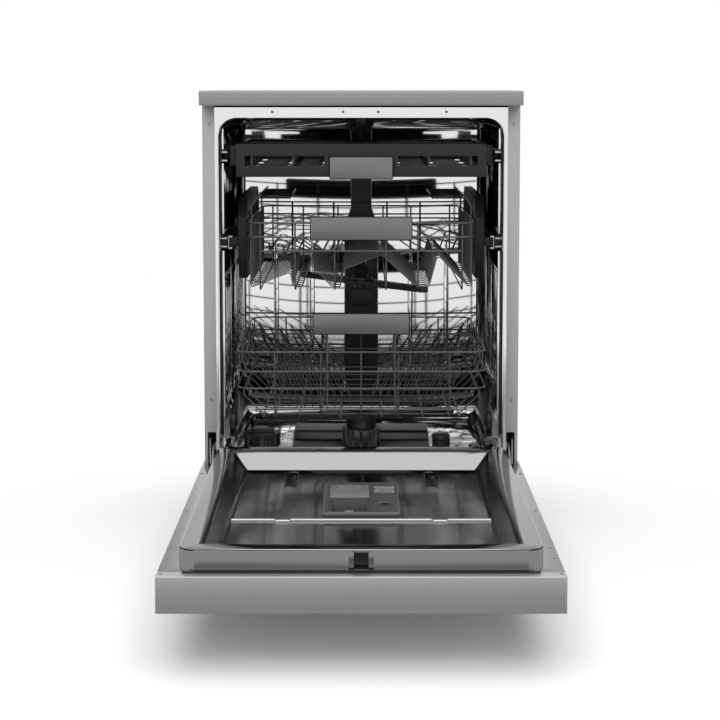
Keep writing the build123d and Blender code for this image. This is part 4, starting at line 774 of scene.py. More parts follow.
@dataclass
class RackGrip:
    """A moulded grip with rounded corners and a brushed steel plate let into its front."""

    node: str
    body: str
    corner: float = 0.004
    rounds: int = 5
    border: float = 0.0018
    plate: float = 0.0012
    soft: float = 0.0002

    def slab(self, name: str, start: Vector, end: Vector, corner: float) -> bpy.types.Object:
        """Models a slab with its four edges along Y rounded.

        Args:
            name: the slab's name.
            start: its lowest corner.
            end: its highest corner.
            corner: the radius of its rounded edges.

        Returns:
            The slab.
        """
        made = BENCH.box(name, start, end)
        BENCH.select(made, Pick.EDGES, lambda edge: abs(edge.verts[0].co.y - edge.verts[1].co.y) > TINY)
        bpy.ops.mesh.bevel(offset=corner, segments=self.rounds)
        BENCH.clear()
        BENCH.soften(made, self.soft)
        return made

    def build(self) -> None:
        """Models the grip and its plate, which stand for the frame's plain block."""
        start, end = low(self.node), high(self.node)
        front = Vector((0, self.plate / 2, 0))
        grip = self.slab(f"{self.node}_body", start + front, end, self.corner)
        BENCH.finish(grip, BLACK_PLASTIC, self.body, "handle_steel")
        inset = Vector((self.border, 0, self.border))
        far = Vector((end.x, start.y + self.plate, end.z)) - inset
        steel = self.slab(f"{self.node}_plate", start + inset, far, self.corner - self.border)
        BENCH.finish(steel, GRIP_STEEL, self.body, "handle_steel")
        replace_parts(grip, self.node)


@dataclass
class FrontScrews:
    """The screws along the front of the cabinet."""

    return_x: float = 0.2865
    return_z: Pair = (0.787, 0.262)
    flange_x: tuple[float, ...] = (-0.167, -0.034, 0.032, 0.160)
    flange_z: float = 0.810

    def build(self) -> None:
        """Drives the screws of the side returns and of the tub's upper flange."""
        face_y = low("side_panel_left").y
        returns = [(side.value * self.return_x, face_y, z) for side in Side for z in self.return_z]
        Screws().drive("return_screw", returns, "cabinet", facing_front=True)
        flange_y = low("tub").y
        flange = [(x, flange_y, self.flange_z) for x in self.flange_x]
        Screws().drive("flange_screw", flange, "cabinet", facing_front=True)


@dataclass
class TubDetails:
    """Pressed beads of the tub's walls, lips of its mouth and end caps of the runners."""

    bead_half: float = 0.006
    bead_rise: float = 0.0022
    bead_sides: int = 16
    bead_z: Pair = (0.235, 0.520)
    side_bead_y: tuple[float, ...] = (0.150, 0.300, 0.430)
    back_bead_x: tuple[float, ...] = (-0.190, -0.110, 0.110, 0.190)
    lip_z: tuple[Pair, ...] = ((0.186, 0.544), (0.576, 0.712), (0.738, 0.778))
    lip_off_wall: Pair = (0.0100, 0.0052)
    # The strip outside each lip is painted shade, in the seal's near-black finish.
    shade_strip_off_wall: Pair = (0.0052, 0.0002)
    lip_back: float = 0.001
    lip_deep: float = 0.003
    lip_soft: float = 0.0008
    cap_half: Pair = (0.004, 0.0125)
    middle_cap_half: float = 0.0078
    tray_cap_half: float = 0.0031
    cap_lap: float = 0.0002
    cap_edge: float = 0.0012

    def bead_row(self, label: str, half: Sequence[float], places: Iterable[Point]) -> None:
        """Adds a row of long shallow pressings, half sunk in their wall.

        Args:
            label: the start of each pressing's name.
            half: their half sizes along X, Y and Z.
            places: their middles, on the wall's face.
        """
        pattern = BENCH.ball("bead", (0, 0, 0), half, segments=self.bead_sides)
        for bead in BENCH.repeat(pattern, label, places):
            BENCH.finish(bead, TUB_STEEL, "cabinet", "tub_steel", ROUND_ANGLE)

    def beads(self) -> None:
        """Presses upright beads into the side walls and the back wall."""
        z0, z1 = self.bead_z
        middle, tall = (z0 + z1) / 2, (z1 - z0) / 2
        wall = high("rail_outer").x
        for side in Side:
            self.bead_row(f"side_bead_{side.name.lower()}", (self.bead_rise, self.bead_half, tall),
                          [(side.value * wall, y, middle) for y in self.side_bead_y])
        back = high("spray_column").y
        self.bead_row("back_bead", (self.bead_half, self.bead_rise, tall),
                      [(x, back, middle) for x in self.back_bead_x])

    def lips(self) -> None:
        """Folds a bright lip up each side of the mouth, with a near-black strip of painted shade outside
        it.
        """
        wall = high("rail_outer").x
        front = low("basket_ledges").y + self.lip_back
        # The strip's near-black seal finish paints the shade beside the lip.
        layers = (("lip", self.lip_off_wall, TUB_STEEL, "tub_steel"),
                  ("strip", self.shade_strip_off_wall, SEAL, "seal_rubber"))
        for side in Side:
            for number, (z0, z1) in enumerate(self.lip_z):
                for label, off_wall, finish, slot in layers:
                    x0, x1 = sorted(side.value * (wall - gap) for gap in off_wall)
                    layer = BENCH.box(f"mouth_{label}_{side.name.lower()}_{number}", (x0, front, z0),
                                      (x1, front + self.lip_deep, z1))
                    BENCH.soften(layer, self.lip_soft, segments=ROUNDS)
                    BENCH.finish(layer, finish, "cabinet", slot)

    def rail_caps(self) -> None:
        """Puts a dark rounded cap on the front end of each runner."""
        deep, tall = self.cap_half
        runners = (("rail_middle", "rail_middle", self.middle_cap_half),
                   ("tray_rails", "cabinet", self.tray_cap_half))
        for node, body, width in runners:
            a, b = low(node), high(node)
            half = Vector((width, deep, tall))
            centre = Vector((b.x - width, a.y + deep - self.cap_lap, (a.z + b.z) / 2))
            cap = BENCH.box(f"{node}_cap_right", centre - half, centre + half)
            BENCH.select(cap, Pick.FACES, looks_front)
            bpy.ops.mesh.inset(thickness=self.cap_edge, depth=self.cap_edge)
            BENCH.clear()
            BENCH.soften(cap, self.cap_edge, segments=ROUNDS)
            other = BENCH.mirrored(cap, f"{node}_cap_left")
            for piece in (cap, other):
                BENCH.finish(piece, BLACK_PLASTIC, body, "base_plastic")

    def build(self) -> None:
        """Builds the tub's details."""
        self.beads()
        self.lips()
        self.rail_caps()


@dataclass
class DoorLinerDetails:
    """Pressings, crease, screws, painted shade at the pan's foot and latch recess of the inner door."""

    floor_z: float = 0.153
    pressing_x: float = 0.125
    pressing_y: Pair = (-0.241, -0.126)
    pressing_half: float = 0.0125
    pressing_rise: float = 0.0009
    pressing_border: float = 0.0014
    pressing_slope: float = 0.0006
    pressing_sink: float = 0.7
    crease_y: float = -0.445
    crease_ends: float = 0.236
    crease_notch: Pair = (0.116, 0.140)
    crease_jog: float = 0.006
    crease_half: float = 0.0032
    crease_rise: float = 0.0024
    crease_root: float = 0.001
    crease_border: float = 0.0016
    crease_slope: float = 0.0004
    crease_edge: float = 0.0006
    screw_head: float = 0.0026
    screw_x: float = 0.292
    screw_y: tuple[float, ...] = (-0.124, -0.375, -0.584, -0.637, -0.713)
    flange_z: float = 0.150
    # The band at the pan's foot is painted shade: a near-black strip that stands for the contact shadow
    # there.
    foot_shade_half: float = 0.262
    foot_shade_width: float = 0.009
    foot_shade_gap: float = 0.0002
    foot_shade_rise: float = 0.0004
    cheek_x: Pair = (0.0108, 0.0186)
    cheek_z: Pair = (0.1525, 0.1795)
    cheek_proud: float = 0.0003
    cheek_root: float = 0.0006
    trim_soft: float = 0.0002

    def seam(self) -> None:
        """Lays a near-black band of painted shade along the foot of the pan's near wall, where its
        contact shadow falls.
        """
        near = high("door_cap")
        band = BENCH.box("pan_seam", (-self.foot_shade_half, near.y - self.foot_shade_width, near.z - self.foot_shade_gap),
                         (self.foot_shade_half, near.y - self.foot_shade_gap, near.z + self.foot_shade_rise))
        BENCH.soften(band, self.trim_soft)
        # The seal's near-black finish paints the shade at the pan's foot.
        BENCH.finish(band, SEAL, "door", "seal_rubber")

    def cheeks(self) -> None:
        """Closes the latch's recess at both sides, so that only its middle stays open."""
        wall = low("door_liner").y
        z0, z1 = self.cheek_z
        for side in Side:
            x0, x1 = sorted(side.value * x for x in self.cheek_x)
            cheek = BENCH.box(f"latch_cheek_{side.name.lower()}", (x0, wall - self.cheek_proud, z0),
                              (x1, wall + self.cheek_root, z1))
            BENCH.soften(cheek, self.trim_soft)
            BENCH.finish(cheek, LINER_STEEL, "door", "liner_steel")

    def pressings(self) -> None:
        """Raises a long pressing with round ends from the basin's floor on each side."""
        y0, y1 = self.pressing_y
        r = self.pressing_half
        pattern = BENCH.rod("basin_pressing", (0, y0 + r, self.floor_z), r, 2 * self.pressing_rise)
        BENCH.select(pattern, Pick.POINTS, lambda vert: vert.co.y > y0 + r + TINY)
        bpy.ops.transform.translate(value=(0, y1 - y0 - 2 * r, 0))
        BENCH.clear()
        sink = self.pressing_rise * self.pressing_sink
        BENCH.dish(pattern, self.pressing_border, self.pressing_slope, sink)
        BENCH.soften(pattern, self.pressing_slope / 2)
        for side in Side:
            made = BENCH.place(pattern, f"basin_pressing_{side.name.lower()}",
                               (side.value * self.pressing_x, 0, 0))
            BENCH.finish(made, LINER_STEEL, "door", "liner_steel", ROUND_ANGLE)
        bpy.data.objects.remove(pattern)

    def crease(self) -> None:
        """Lays the step that runs across the basin, with a notch on each side, in a paler steel that
        paints its highlight.
        """
        near, far = self.crease_notch
        ends = self.crease_ends
        spans = ((-ends, -far, 0), (-far, -near, 1), (-near, near, 0), (near, far, 1), (far, ends, 0))
        for number, (x0, x1, notched) in enumerate(spans):
            y = self.crease_y - self.crease_jog * notched
            step = BENCH.box(f"basin_crease_{number}",
                             (x0, y - self.crease_half, self.floor_z - self.crease_root),
                             (x1, y + self.crease_half, self.floor_z + self.crease_rise))
            BENCH.dish(step, self.crease_border, self.crease_slope, self.crease_border)
            BENCH.soften(step, self.crease_edge, segments=ROUNDS)
            # The crease's paler steel is a painted highlight.
            BENCH.finish(step, CREASE_HIGHLIGHT_STEEL, "door", "liner_steel", ROUND_ANGLE)

    def screws(self) -> None:
        """Drives the screws along the two sides of the door's flange."""
        places = [(side.value * self.screw_x, y, self.flange_z) for side in Side for y in self.screw_y]
        Screws(head=self.screw_head).drive("door_screw", places, "door", facing_front=False)

    def build(self) -> None:
        """Builds the inner door's details."""
        self.seam()
        self.cheeks()
        self.pressings()
        self.crease()
        self.screws()


@dataclass
class DispenserDetails:
    """Window, tongue and finger ribs of the dosing unit."""

    top: float = 0.163
    window_at: Pair = (0.040, -0.3845)
    ring_radius: float = 0.0125
    ring_height: float = 0.004
    ring_sides: int = 40
    ring_border: float = 0.003
    ring_slope: float = 0.0008
    ring_sink: float = 0.0012
    ring_soft: float = 0.0004
    eye_half: Point = (0.008, 0.008, 0.0018)
    eye_lift: float = 0.0006
    tongue_half: float = 0.007
    tongue_from_edge: float = 0.001
    tongue_long: float = 0.006
    tongue_z: Pair = (-0.002, 0.0022)
    tongue_border: float = 0.0012
    tongue_soft: float = 0.0006
    ribs: int = 4
    rib_first: float = 0.012
    rib_pitch: float = 0.006
    rib_from_side: float = 0.014
    rib_long: float = 0.0018
    rib_below_top: Pair = (0.0045, 0.0028)
    rib_soft: float = 0.0005

    def window(self) -> None:
        """Adds the round viewing window of the rinse-aid chamber."""
        x, y = self.window_at
        ring = BENCH.rod("rinse_window_ring", (x, y, self.top), self.ring_radius, self.ring_height,
                         sides=self.ring_sides)
        BENCH.dish(ring, self.ring_border, self.ring_slope, self.ring_sink)
        BENCH.soften(ring, self.ring_soft)
        BENCH.finish(ring, MID_PLASTIC, "door", "mid_plastic")
        eye = BENCH.ball("rinse_window", (x, y, self.top + self.eye_lift), self.eye_half)
        BENCH.finish(eye, BLACK_PLASTIC, "door", "mid_plastic", ROUND_ANGLE)

    def tongue(self) -> None:
        """Adds the pale tongue that holds the detergent lid shut."""
        x = (low("detergent_lid").x + high("detergent_lid").x) / 2
        y = low("dispenser_body").y + self.tongue_from_edge
        z0, z1 = self.tongue_z
        tongue = BENCH.box("detergent_tongue", (x - self.tongue_half, y, self.top + z0),
                           (x + self.tongue_half, y + self.tongue_long, self.top + z1))
        BENCH.select(tongue, Pick.FACES, looks_up)
        bpy.ops.mesh.inset(thickness=self.tongue_border, depth=-self.tongue_border / 2)
        BENCH.clear()
        BENCH.soften(tongue, self.tongue_soft)
        BENCH.finish(tongue, PALE_PLASTIC, "door", "mid_plastic")

    def finger_ribs(self) -> None:
        """Raises fine finger ribs on the sliding lid."""
        a, b = low("detergent_lid"), high("detergent_lid")
        bottom, top = self.rib_below_top
        y = b.y - self.rib_first
        pattern = BENCH.box("lid_rib", (a.x + self.rib_from_side, y, b.z - bottom),
                            (b.x - self.rib_from_side, y + self.rib_long, b.z - top))
        BENCH.soften(pattern, self.rib_soft)
        steps = [(0, -number * self.rib_pitch, 0) for number in range(self.ribs)]
        for rib in BENCH.repeat(pattern, "lid_rib", steps):
            BENCH.finish(rib, PALE_PLASTIC, "detergent_lid", "pale_plastic")

    def build(self) -> None:
        """Builds the dosing unit's details."""
        self.window()
        self.tongue()
        self.finger_ribs()


@dataclass
class Wheels:
    """Spoked wheels of the lower basket."""

    sides: int = 48
    rim: float = 0.0035
    rim_slope: float = 0.0006
    hub: float = 0.0065
    hub_slope: float = 0.0004
    web: float = 0.003
    soft: float = 0.0004
    soft_angle: float = 50.0
    spokes: int = 6
    spoke_half: float = 0.0009
    spoke_share: float = 0.35
    spoke_root: float = 0.001

    @staticmethod
    def nodes() -> list[str]:
        """Returns the names of the four wheels."""
        return [f"wheel_{end}_{side.name.lower()}" for end in ("front", "rear") for side in Side]

    def build(self) -> None:
        """Models one wheel and copies it to all four places."""
        first = self.nodes()[0]
        size = high(first) - low(first)
        pattern = self.model(size.z / 2, size.x)
        for node in self.nodes():
            wheel = BENCH.place(pattern, f"{node}_tread", (low(node) + high(node)) / 2)
            BENCH.finish(wheel, DARK_PLASTIC, node, "dark_plastic")
            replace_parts(wheel, node)
        bpy.data.objects.remove(pattern)

    def model(self, radius: float, width: float) -> bpy.types.Object:
        """Models a wheel about the X axis at the origin.

        Args:
            radius: the tread's radius.
            width: the tread's width.

        Returns:
            The wheel.
        """
        disc = BENCH.rod("wheel_disc", (0, 0, 0), radius, width, Axis.X, self.sides)
        sink = (width - self.web) / 2
        for way in (-1, 1):
            BENCH.select(disc, Pick.FACES, lambda face: face.normal.x * way > SQUARE)
            bpy.ops.mesh.inset(thickness=self.rim, depth=0)
            bpy.ops.mesh.inset(thickness=self.rim_slope, depth=-sink)
            bpy.ops.mesh.inset(thickness=radius - self.rim - self.hub - self.rim_slope, depth=0)
            bpy.ops.mesh.inset(thickness=self.hub_slope, depth=sink)
            BENCH.clear()
        BENCH.soften(disc, self.soft, angle=self.soft_angle)
        return BENCH.join("wheel_pattern", [disc, *self.spoke_ring(radius, width)])

    def spoke_ring(self, radius: float, width: float) -> list[bpy.types.Object]:
        """Models one spoke and copies it round the hub.

        Args:
            radius: the tread's radius.
            width: the tread's width.

        Returns:
            The spokes.
        """
        deep = width * self.spoke_share
        pattern = BENCH.box("spoke", (-deep, -self.spoke_half, self.hub - self.spoke_root),
                            (deep, self.spoke_half, radius - self.rim + self.rim_slope))
        spokes = BENCH.repeat(pattern, "spoke", [(0, 0, 0)] * self.spokes)
        for number, spoke in enumerate(spokes):
            spoke.rotation_euler = (2 * math.pi * number / self.spokes, 0, 0)
            BENCH.settle(spoke)
        return spokes


@dataclass
class DoorCap:
    """The rail along the door's upper edge, with one tight fold along its front."""

    fold: float = 0.0013
    soft: float = 0.0003

    def build(self) -> None:
        """Models the rail, which stands for the frame's bevelled one."""
        front = low("door_cap").y + TINY
        cap = BENCH.box("door_cap_rail", low("door_cap"), high("door_cap"))
        BENCH.select(cap, Pick.EDGES, lambda edge: all(vert.co.y < front for vert in edge.verts) and
                     abs(edge.verts[0].co.z - edge.verts[1].co.z) < TINY)
        bpy.ops.mesh.bevel(offset=self.fold, segments=ROUNDS)
        BENCH.clear()
        BENCH.soften(cap, self.soft)
        BENCH.finish(cap, DOOR_SKIN, "door", "door_skin")
        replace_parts(cap, "door_cap")


@dataclass
class WireBasket:
    """What the two baskets share: loops, bars and uprights of welded wire."""

    half: float
    loop_half: float
    depth: Pair
    loop_depth: Pair
    rim_z: float
    floor_z: float
    bar_z: float
    upright_x: tuple[float, ...]
    wire: float = 0.0014
    rim: float = 0.0019
    stout: float = 0.0017
    corner: float = 0.026
    corner_steps: int = 4
    lap: float = 0.004
    bend: float = 0.008
    bend_share: float = 0.3

    def loops(self, heights: Sequence[float]) -> list[bpy.types.Object]:
        """Models a closed loop of wire with round corners and copies it to each height.

        Args:
            heights: the heights that the loops lie at.

        Returns:
            The loops.
        """
        y0, y1 = self.loop_depth
        r = self.corner
        near, far = r - self.loop_half, self.loop_half - r
        corners = ((far, y1 - r, 0), (near, y1 - r, 90), (near, y0 + r, 180), (far, y0 + r, 270))
        points = []
        for x, y, start in corners:
            for step in range(self.corner_steps + 1):
                turn = math.radians(start + step * 90 / self.corner_steps)
                points.append((x + r * math.cos(turn), y + r * math.sin(turn), 0))
        pattern = BENCH.wire("basket_loop", points, self.rim, closed=True)
        return BENCH.repeat(pattern, "basket_loop", [(0, 0, z) for z in heights])

    def bars(self, half: float, depths: Sequence[float]) -> list[bpy.types.Object]:
        """Models a straight bar across the basket below its loops and copies it to each depth.

        Args:
            half: half of the bar's length.
            depths: the depths that the bars lie at.

        Returns:
            The bars.
        """
        pattern = BENCH.wire("basket_bar", [(-half, 0, self.bar_z), (half, 0, self.bar_z)], self.rim)
        return BENCH.repeat(pattern, "basket_bar", [(0, y, 0) for y in depths])

    def cross_wires(self, depths: Sequence[float], right: Sequence[Pair],
                    floor: Sequence[Pair] = ()) -> list[bpy.types.Object]:
        """Models a wire from rim to rim, whose left end mirrors its right one, and copies it.

        Args:
            depths: the depths that the wires lie at.
            right: the bends of the right end from the rim down, as X and Z.
            floor: the bends along the floor from left to right, as X and Z.

        Returns:
            The wires.
        """
        path = [(-x, z) for x, z in right] + list(floor) + list(reversed(right))
        pattern = BENCH.wire("cross_wire", [(x, 0, z) for x, z in path], self.wire)
        return BENCH.repeat(pattern, "cross_wire", [(0, y, 0) for y in depths])

    def uprights(self) -> list[bpy.types.Object]:
        """Models a wire from the front rim under the floor to the back rim, and copies it.

        Returns:
            The wires.
        """
        y0, y1 = self.depth
        under = self.floor_z - self.lap
        r = self.bend
        part = r * self.bend_share
        path = ((y0, self.rim_z), (y0, under + r), (y0 + part, under + part), (y0 + r, under),
                (y1 - r, under), (y1 - part, under + part), (y1, under + r), (y1, self.rim_z))
        pattern = BENCH.wire("upright", [(0, y, z) for y, z in path], self.stout)
        return BENCH.repeat(pattern, "upright", [(x, 0, 0) for x in self.upright_x])


@dataclass
class LowerBasket(WireBasket):
    """The lower basket, with close rows of tines that lean outwards."""

    half: float = 0.236
    loop_half: float = 0.2405
    depth: Pair = (0.044, 0.496)
    loop_depth: Pair = (0.0395, 0.5005)
    rim_z: float = 0.347
    floor_z: float = 0.222
    bar_z: float = 0.235
    loops_z: Pair = (0.309, 0.276)
    bar_half: float = 0.205
    # The bends of a cross wire's end, as how far inside the rim and how high they lie.
    side_bends: tuple[Pair, ...] = ((0.0, 0.318), (0.005, 0.305), (0.016, 0.294), (0.018, 0.284),
                                    (0.008, 0.272), (0.008, 0.260), (0.030, 0.238), (0.040, 0.227))
    side_foot: float = 0.054
    row_y: tuple[float, ...] = (0.060, 0.120, 0.180, 0.240, 0.300, 0.360, 0.420, 0.480)
    upright_x: tuple[float, ...] = (-0.167, -0.078, 0.0, 0.072, 0.171)
    runner_x: tuple[float, ...] = (-0.190, -0.120, -0.040, 0.040, 0.120, 0.190)
    post_x: float = 0.065
    post_front: float = 0.0035
    post_reach: float = 0.030
    tine_rows: tuple[Pair, ...] = ((0.120, 0.022), (0.180, 0.022), (0.360, 0.040), (0.420, 0.040))
    tine_end: float = 0.176
    tine_pitch: float = 0.0150
    tine_wire: float = 0.0011
    # A tine stands upright along its stem, bends, and then leans outwards and back.
    stem: float = 0.024
    stem_share: float = 0.8
    stem_bend: float = 0.0012
    rise: float = 0.080
    lean: float = 0.028
    back: float = 0.020
    fold_bar_in: float = 0.002
    fold_ends: Pair = (0.008, 0.004)

    def sides(self) -> list[Pair]:
        """Returns the bends of a cross wire's right end, in and out from the rim to the floor."""
        bends = ((0.0, self.rim_z), *self.side_bends, (self.side_foot, self.floor_z))
        return [(self.half - inwards, z) for inwards, z in bends]

    def runners(self) -> list[bpy.types.Object]:
        """Models a straight wire under the floor and copies it.

        Returns:
            The wires.
        """
        near, far = self.depth[0] + self.bend, self.depth[1] - self.bend
        under = self.floor_z - self.lap
        pattern = BENCH.wire("runner", [(0, near, under), (0, far, under)], self.wire)
        return BENCH.repeat(pattern, "runner", [(x, 0, 0) for x in self.runner_x])

    def grip_posts(self) -> list[bpy.types.Object]:
        """Models one of the two upright wires that carry the grip, and copies it.

        Returns:
            The wires.
        """
        front = self.loop_depth[0] - self.post_front
        top = low("lower_basket_handle").z + self.post_reach
        pattern = BENCH.wire("grip_post", [(0, front, self.bar_z), (0, front, top)], self.wire)
        return BENCH.repeat(pattern, "grip_post", [(-self.post_x, 0, 0), (self.post_x, 0, 0)])

    def bank(self, name: str, y: float, near: float, foot: float, end: float) -> bpy.types.Object:
        """Models a tine of the right bank, straight up and then leaning outwards, and its row.

        Args:
            name: the row's name.
            y: its depth.
            near: how far from the middle its first tine stands.
            foot: the height of the wire that it stands on.
            end: how far from the middle the row may reach.

        Returns:
            The row, as one piece.
        """
        path = [(0, 0, 0), (0, 0, self.stem * self.stem_share), (self.stem_bend, 0, self.stem),
                (self.lean, self.back, self.rise)]
        pattern = BENCH.wire("tine", path, self.tine_wire)
        count = int((end - near) / self.tine_pitch) + 1
        places = [(near + step * self.tine_pitch, y, foot) for step in range(count)]
        return BENCH.join(name, BENCH.repeat(pattern, "tine", places))

    def folding_rows(self) -> None:
        """Builds the two rows of tines that fold flat, each on its own bar."""
        a, b = low("folding_tines_right"), high("folding_tines_right")
        y, foot = a.y + self.fold_bar_in, a.z + self.fold_bar_in
        near, far = self.fold_ends
        bar = BENCH.wire("fold_bar", [(a.x, y, foot), (b.x, y, foot)], self.rim)
        tines = self.bank("fold_tines", y, a.x + near, foot, b.x - far)
        right = BENCH.join("folding_row_right", [tines, bar])
        left = BENCH.mirrored(right, "folding_row_left")
        for piece, node in ((right, "folding_tines_right"), (left, "folding_tines_left")):
            BENCH.finish(piece, TINE_COAT, node, "basket_wire", WIRE_ANGLE)
            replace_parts(piece, node)

    def build(self) -> None:
        """Builds the basket, which stands for the frame's plainer wires."""
        wires = BENCH.join("lower_basket_frame", [
            *self.loops((self.rim_z, *self.loops_z)), *self.bars(self.bar_half, self.loop_depth),
            *self.cross_wires(self.row_y, self.sides()), *self.uprights(), *self.runners(),
            *self.grip_posts()])
        BENCH.finish(wires, WIRE_COAT, "lower_basket", "basket_wire", WIRE_ANGLE)
        banks = [self.bank("tines", y, near, self.floor_z, self.tine_end) for y, near in self.tine_rows]
        right = BENCH.join("plate_tines_right", banks)
        left = BENCH.mirrored(right, "plate_tines_left")
        for piece in (right, left):
            BENCH.finish(piece, TINE_COAT, "lower_basket", "basket_wire", WIRE_ANGLE)
        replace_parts(wires, "lower_basket_wires")
        self.folding_rows()


@dataclass
class UpperBasket(WireBasket):
    """The upper basket, whose floor wires rise and fall in ridges, with the shelves' posts."""

    half: float = 0.2135
    loop_half: float = 0.218
    depth: Pair = (0.044, 0.476)
    loop_depth: Pair = (0.0395, 0.4805)
    rim_z: float = 0.597
    floor_z: float = 0.472
    bar_z: float = 0.543
    loop_z: float = 0.570
    rows: int = 13
    row_y: Pair = (0.060, 0.460)
    upright_x: tuple[float, ...] = (-0.194, -0.127, -0.051, 0.048, 0.109, 0.194)
    foot_bends: tuple[Pair, ...] = ((0.0, 0.006), (0.001, 0.002))
    # The floor's ridges from left to right, as X and how far they rise above the floor.
    ridges: tuple[Pair, ...] = (
        (-0.210, 0.0), (-0.141, 0.027), (-0.136, 0.025), (-0.132, 0.004), (-0.126, 0.0), (-0.114, 0.0),
        (-0.100, 0.040), (-0.095, 0.040), (-0.058, 0.002), (-0.052, 0.0), (-0.041, 0.0), (-0.033, 0.034),
        (-0.028, 0.036), (0.034, 0.060), (0.042, 0.060), (0.104, 0.003), (0.110, 0.0), (0.126, 0.0),
        (0.132, 0.004), (0.146, 0.056), (0.153, 0.057), (0.206, 0.002))
    shelf_y: Pair = (0.086, 0.404)
    shelf_at: Pair = (0.205, 0.640)
    post_start: float = 0.008
    post_bend: float = 0.014
    post_end: Pair = (0.006, 0.004)

    def shelf_posts(self, side: Side) -> list[bpy.types.Object]:
        """Models a bent side wire that carries an end of a cup shelf's hinge bar, and copies it.

        Args:
            side: the side that the wires stand at.

        Returns:
            The wires.
        """
        x, z = self.shelf_at
        inwards, rise = self.post_end
        bends = ((self.half, self.loop_z - self.post_start), (self.half, z - self.post_bend), (x, z),
                 (x - inwards, z + rise))
        pattern = BENCH.wire("shelf_post", [(side.value * a, 0, b) for a, b in bends], self.stout)
        return BENCH.repeat(pattern, "shelf_post", [(0, y, 0) for y in self.shelf_y])

    def build(self) -> None:
        """Builds the basket, which stands for the frame's plainer wires."""
        y0, y1 = self.row_y
        depths = [y0 + row * (y1 - y0) / (self.rows - 1) for row in range(self.rows)]
        right = [(self.half, self.rim_z)]
        right += [(self.half - inwards, self.floor_z + rise) for inwards, rise in self.foot_bends]
        floor = [(x, self.floor_z + rise) for x, rise in self.ridges]
        basket = BENCH.join("upper_basket_frame", [
            *self.loops((self.rim_z, self.loop_z)), *self.bars(self.upright_x[-1], self.loop_depth[:1]),
            *self.cross_wires(depths, right, floor), *self.uprights(), *self.shelf_posts(Side.LEFT),
            *self.shelf_posts(Side.RIGHT)])
        BENCH.finish(basket, WIRE_COAT, "upper_basket", "basket_wire", WIRE_ANGLE)
        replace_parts(basket, "upper_basket_wires")


@dataclass
class SprayNozzles:
    """Raised nozzle rims along a spray arm."""

    node: str
    turn: float
    reaches: tuple[float, ...]
    radius: float = 0.0045
    height: float = 0.0016
    sides: int = 20
    border_share: float = 0.45
    slope: float = 0.0002
    sink: float = 0.0012

    def build(self) -> None:
        """Adds the nozzles on top of the arm, which the body of the same name carries."""
        a, b = low(self.node), high(self.node)
        centre = (a + b) / 2
        turn = math.radians(self.turn)
        places = [(centre.x + reach * math.cos(turn), centre.y + reach * math.sin(turn), b.z)
                  for reach in self.reaches]
        pattern = BENCH.rod("nozzle", (0, 0, 0), self.radius, self.height, sides=self.sides)
        BENCH.dish(pattern, self.radius * self.border_share, self.slope, self.sink)
        for rim in BENCH.repeat(pattern, f"{self.node}_nozzle", places):
            BENCH.finish(rim, BLACK_PLASTIC, self.node, "dark_plastic")


@dataclass
class FilterDetails:
    """Grip ribs of the filter cylinder, and the dome of the float."""

    ribs: int = 24
    rib_in: float = 0.0022
    rib_radius: float = 0.0011
    rib_long: float = 0.018
    rib_down: float = 0.012
    rib_sides: int = 8
    dome_rise: float = 0.004

    def grip(self) -> None:
        """Adds fine upright ribs round the filter cylinder."""
        a, b = low("filter_cylinder"), high("filter_cylinder")
        centre = (a + b) / 2
        ring = (b.x - a.x) / 2 - self.rib_in
        height = b.z - self.rib_down
        turns = [2 * math.pi * number / self.ribs for number in range(self.ribs)]
        places = [(centre.x + ring * math.cos(turn), centre.y + ring * math.sin(turn), height)
                  for turn in turns]
        pattern = BENCH.rod("filter_rib", (0, 0, 0), self.rib_radius, self.rib_long, sides=self.rib_sides)
        grip = BENCH.join("filter_grip_ribs", BENCH.repeat(pattern, "filter_rib", places))
        BENCH.finish(grip, BLACK_PLASTIC, "filter_cylinder", "mid_plastic")

    def dome(self) -> None:
        """Adds a domed cap over the float."""
        a, b = low("level_float"), high("level_float")
        centre, half = (a + b) / 2, (b - a) / 2
        dome = BENCH.ball("float_dome", (centre.x, centre.y, b.z - self.dome_rise),
                          (half.x, half.y, self.dome_rise))
        BENCH.finish(dome, MID_PLASTIC, "level_float", "mid_plastic", ROUND_ANGLE)

    def build(self) -> None:
        """Builds the filter's and the float's details."""
        self.grip()
        self.dome()


# ================= studio =================


@dataclass(frozen=True)
class Lamp:
    """One soft square lamp, and whether metal shows it."""

    name: str
    place: Point
    aim: Point
    size: float
    power: float
    mirrored: bool

    def build(self) -> None:
        """Hangs the lamp at its place, facing its aim."""
        data = bpy.data.lights.new(self.name, "AREA")
        data.size = self.size
        data.energy = self.power
        made = bpy.data.objects.new(self.name, data)
        made.location = self.place
        facing = Vector(self.aim) - Vector(self.place)
        made.rotation_euler = facing.to_track_quat("-Z", "Y").to_euler()
        made.visible_glossy = self.mirrored
        bpy.context.scene.collection.objects.link(made)


OVERHEAD_LAMP = Lamp("overhead_lamp", place=(0.0, -0.8, 3.2), aim=(0.0, -0.1, 0.4), size=4.5,
                     power=95.0, mirrored=True)
FRONT_LAMP = Lamp("front_lamp", place=(0.0, -3.6, 2.2), aim=(0.0, 0.0, 0.4), size=2.5, power=60.0,
                  mirrored=False)


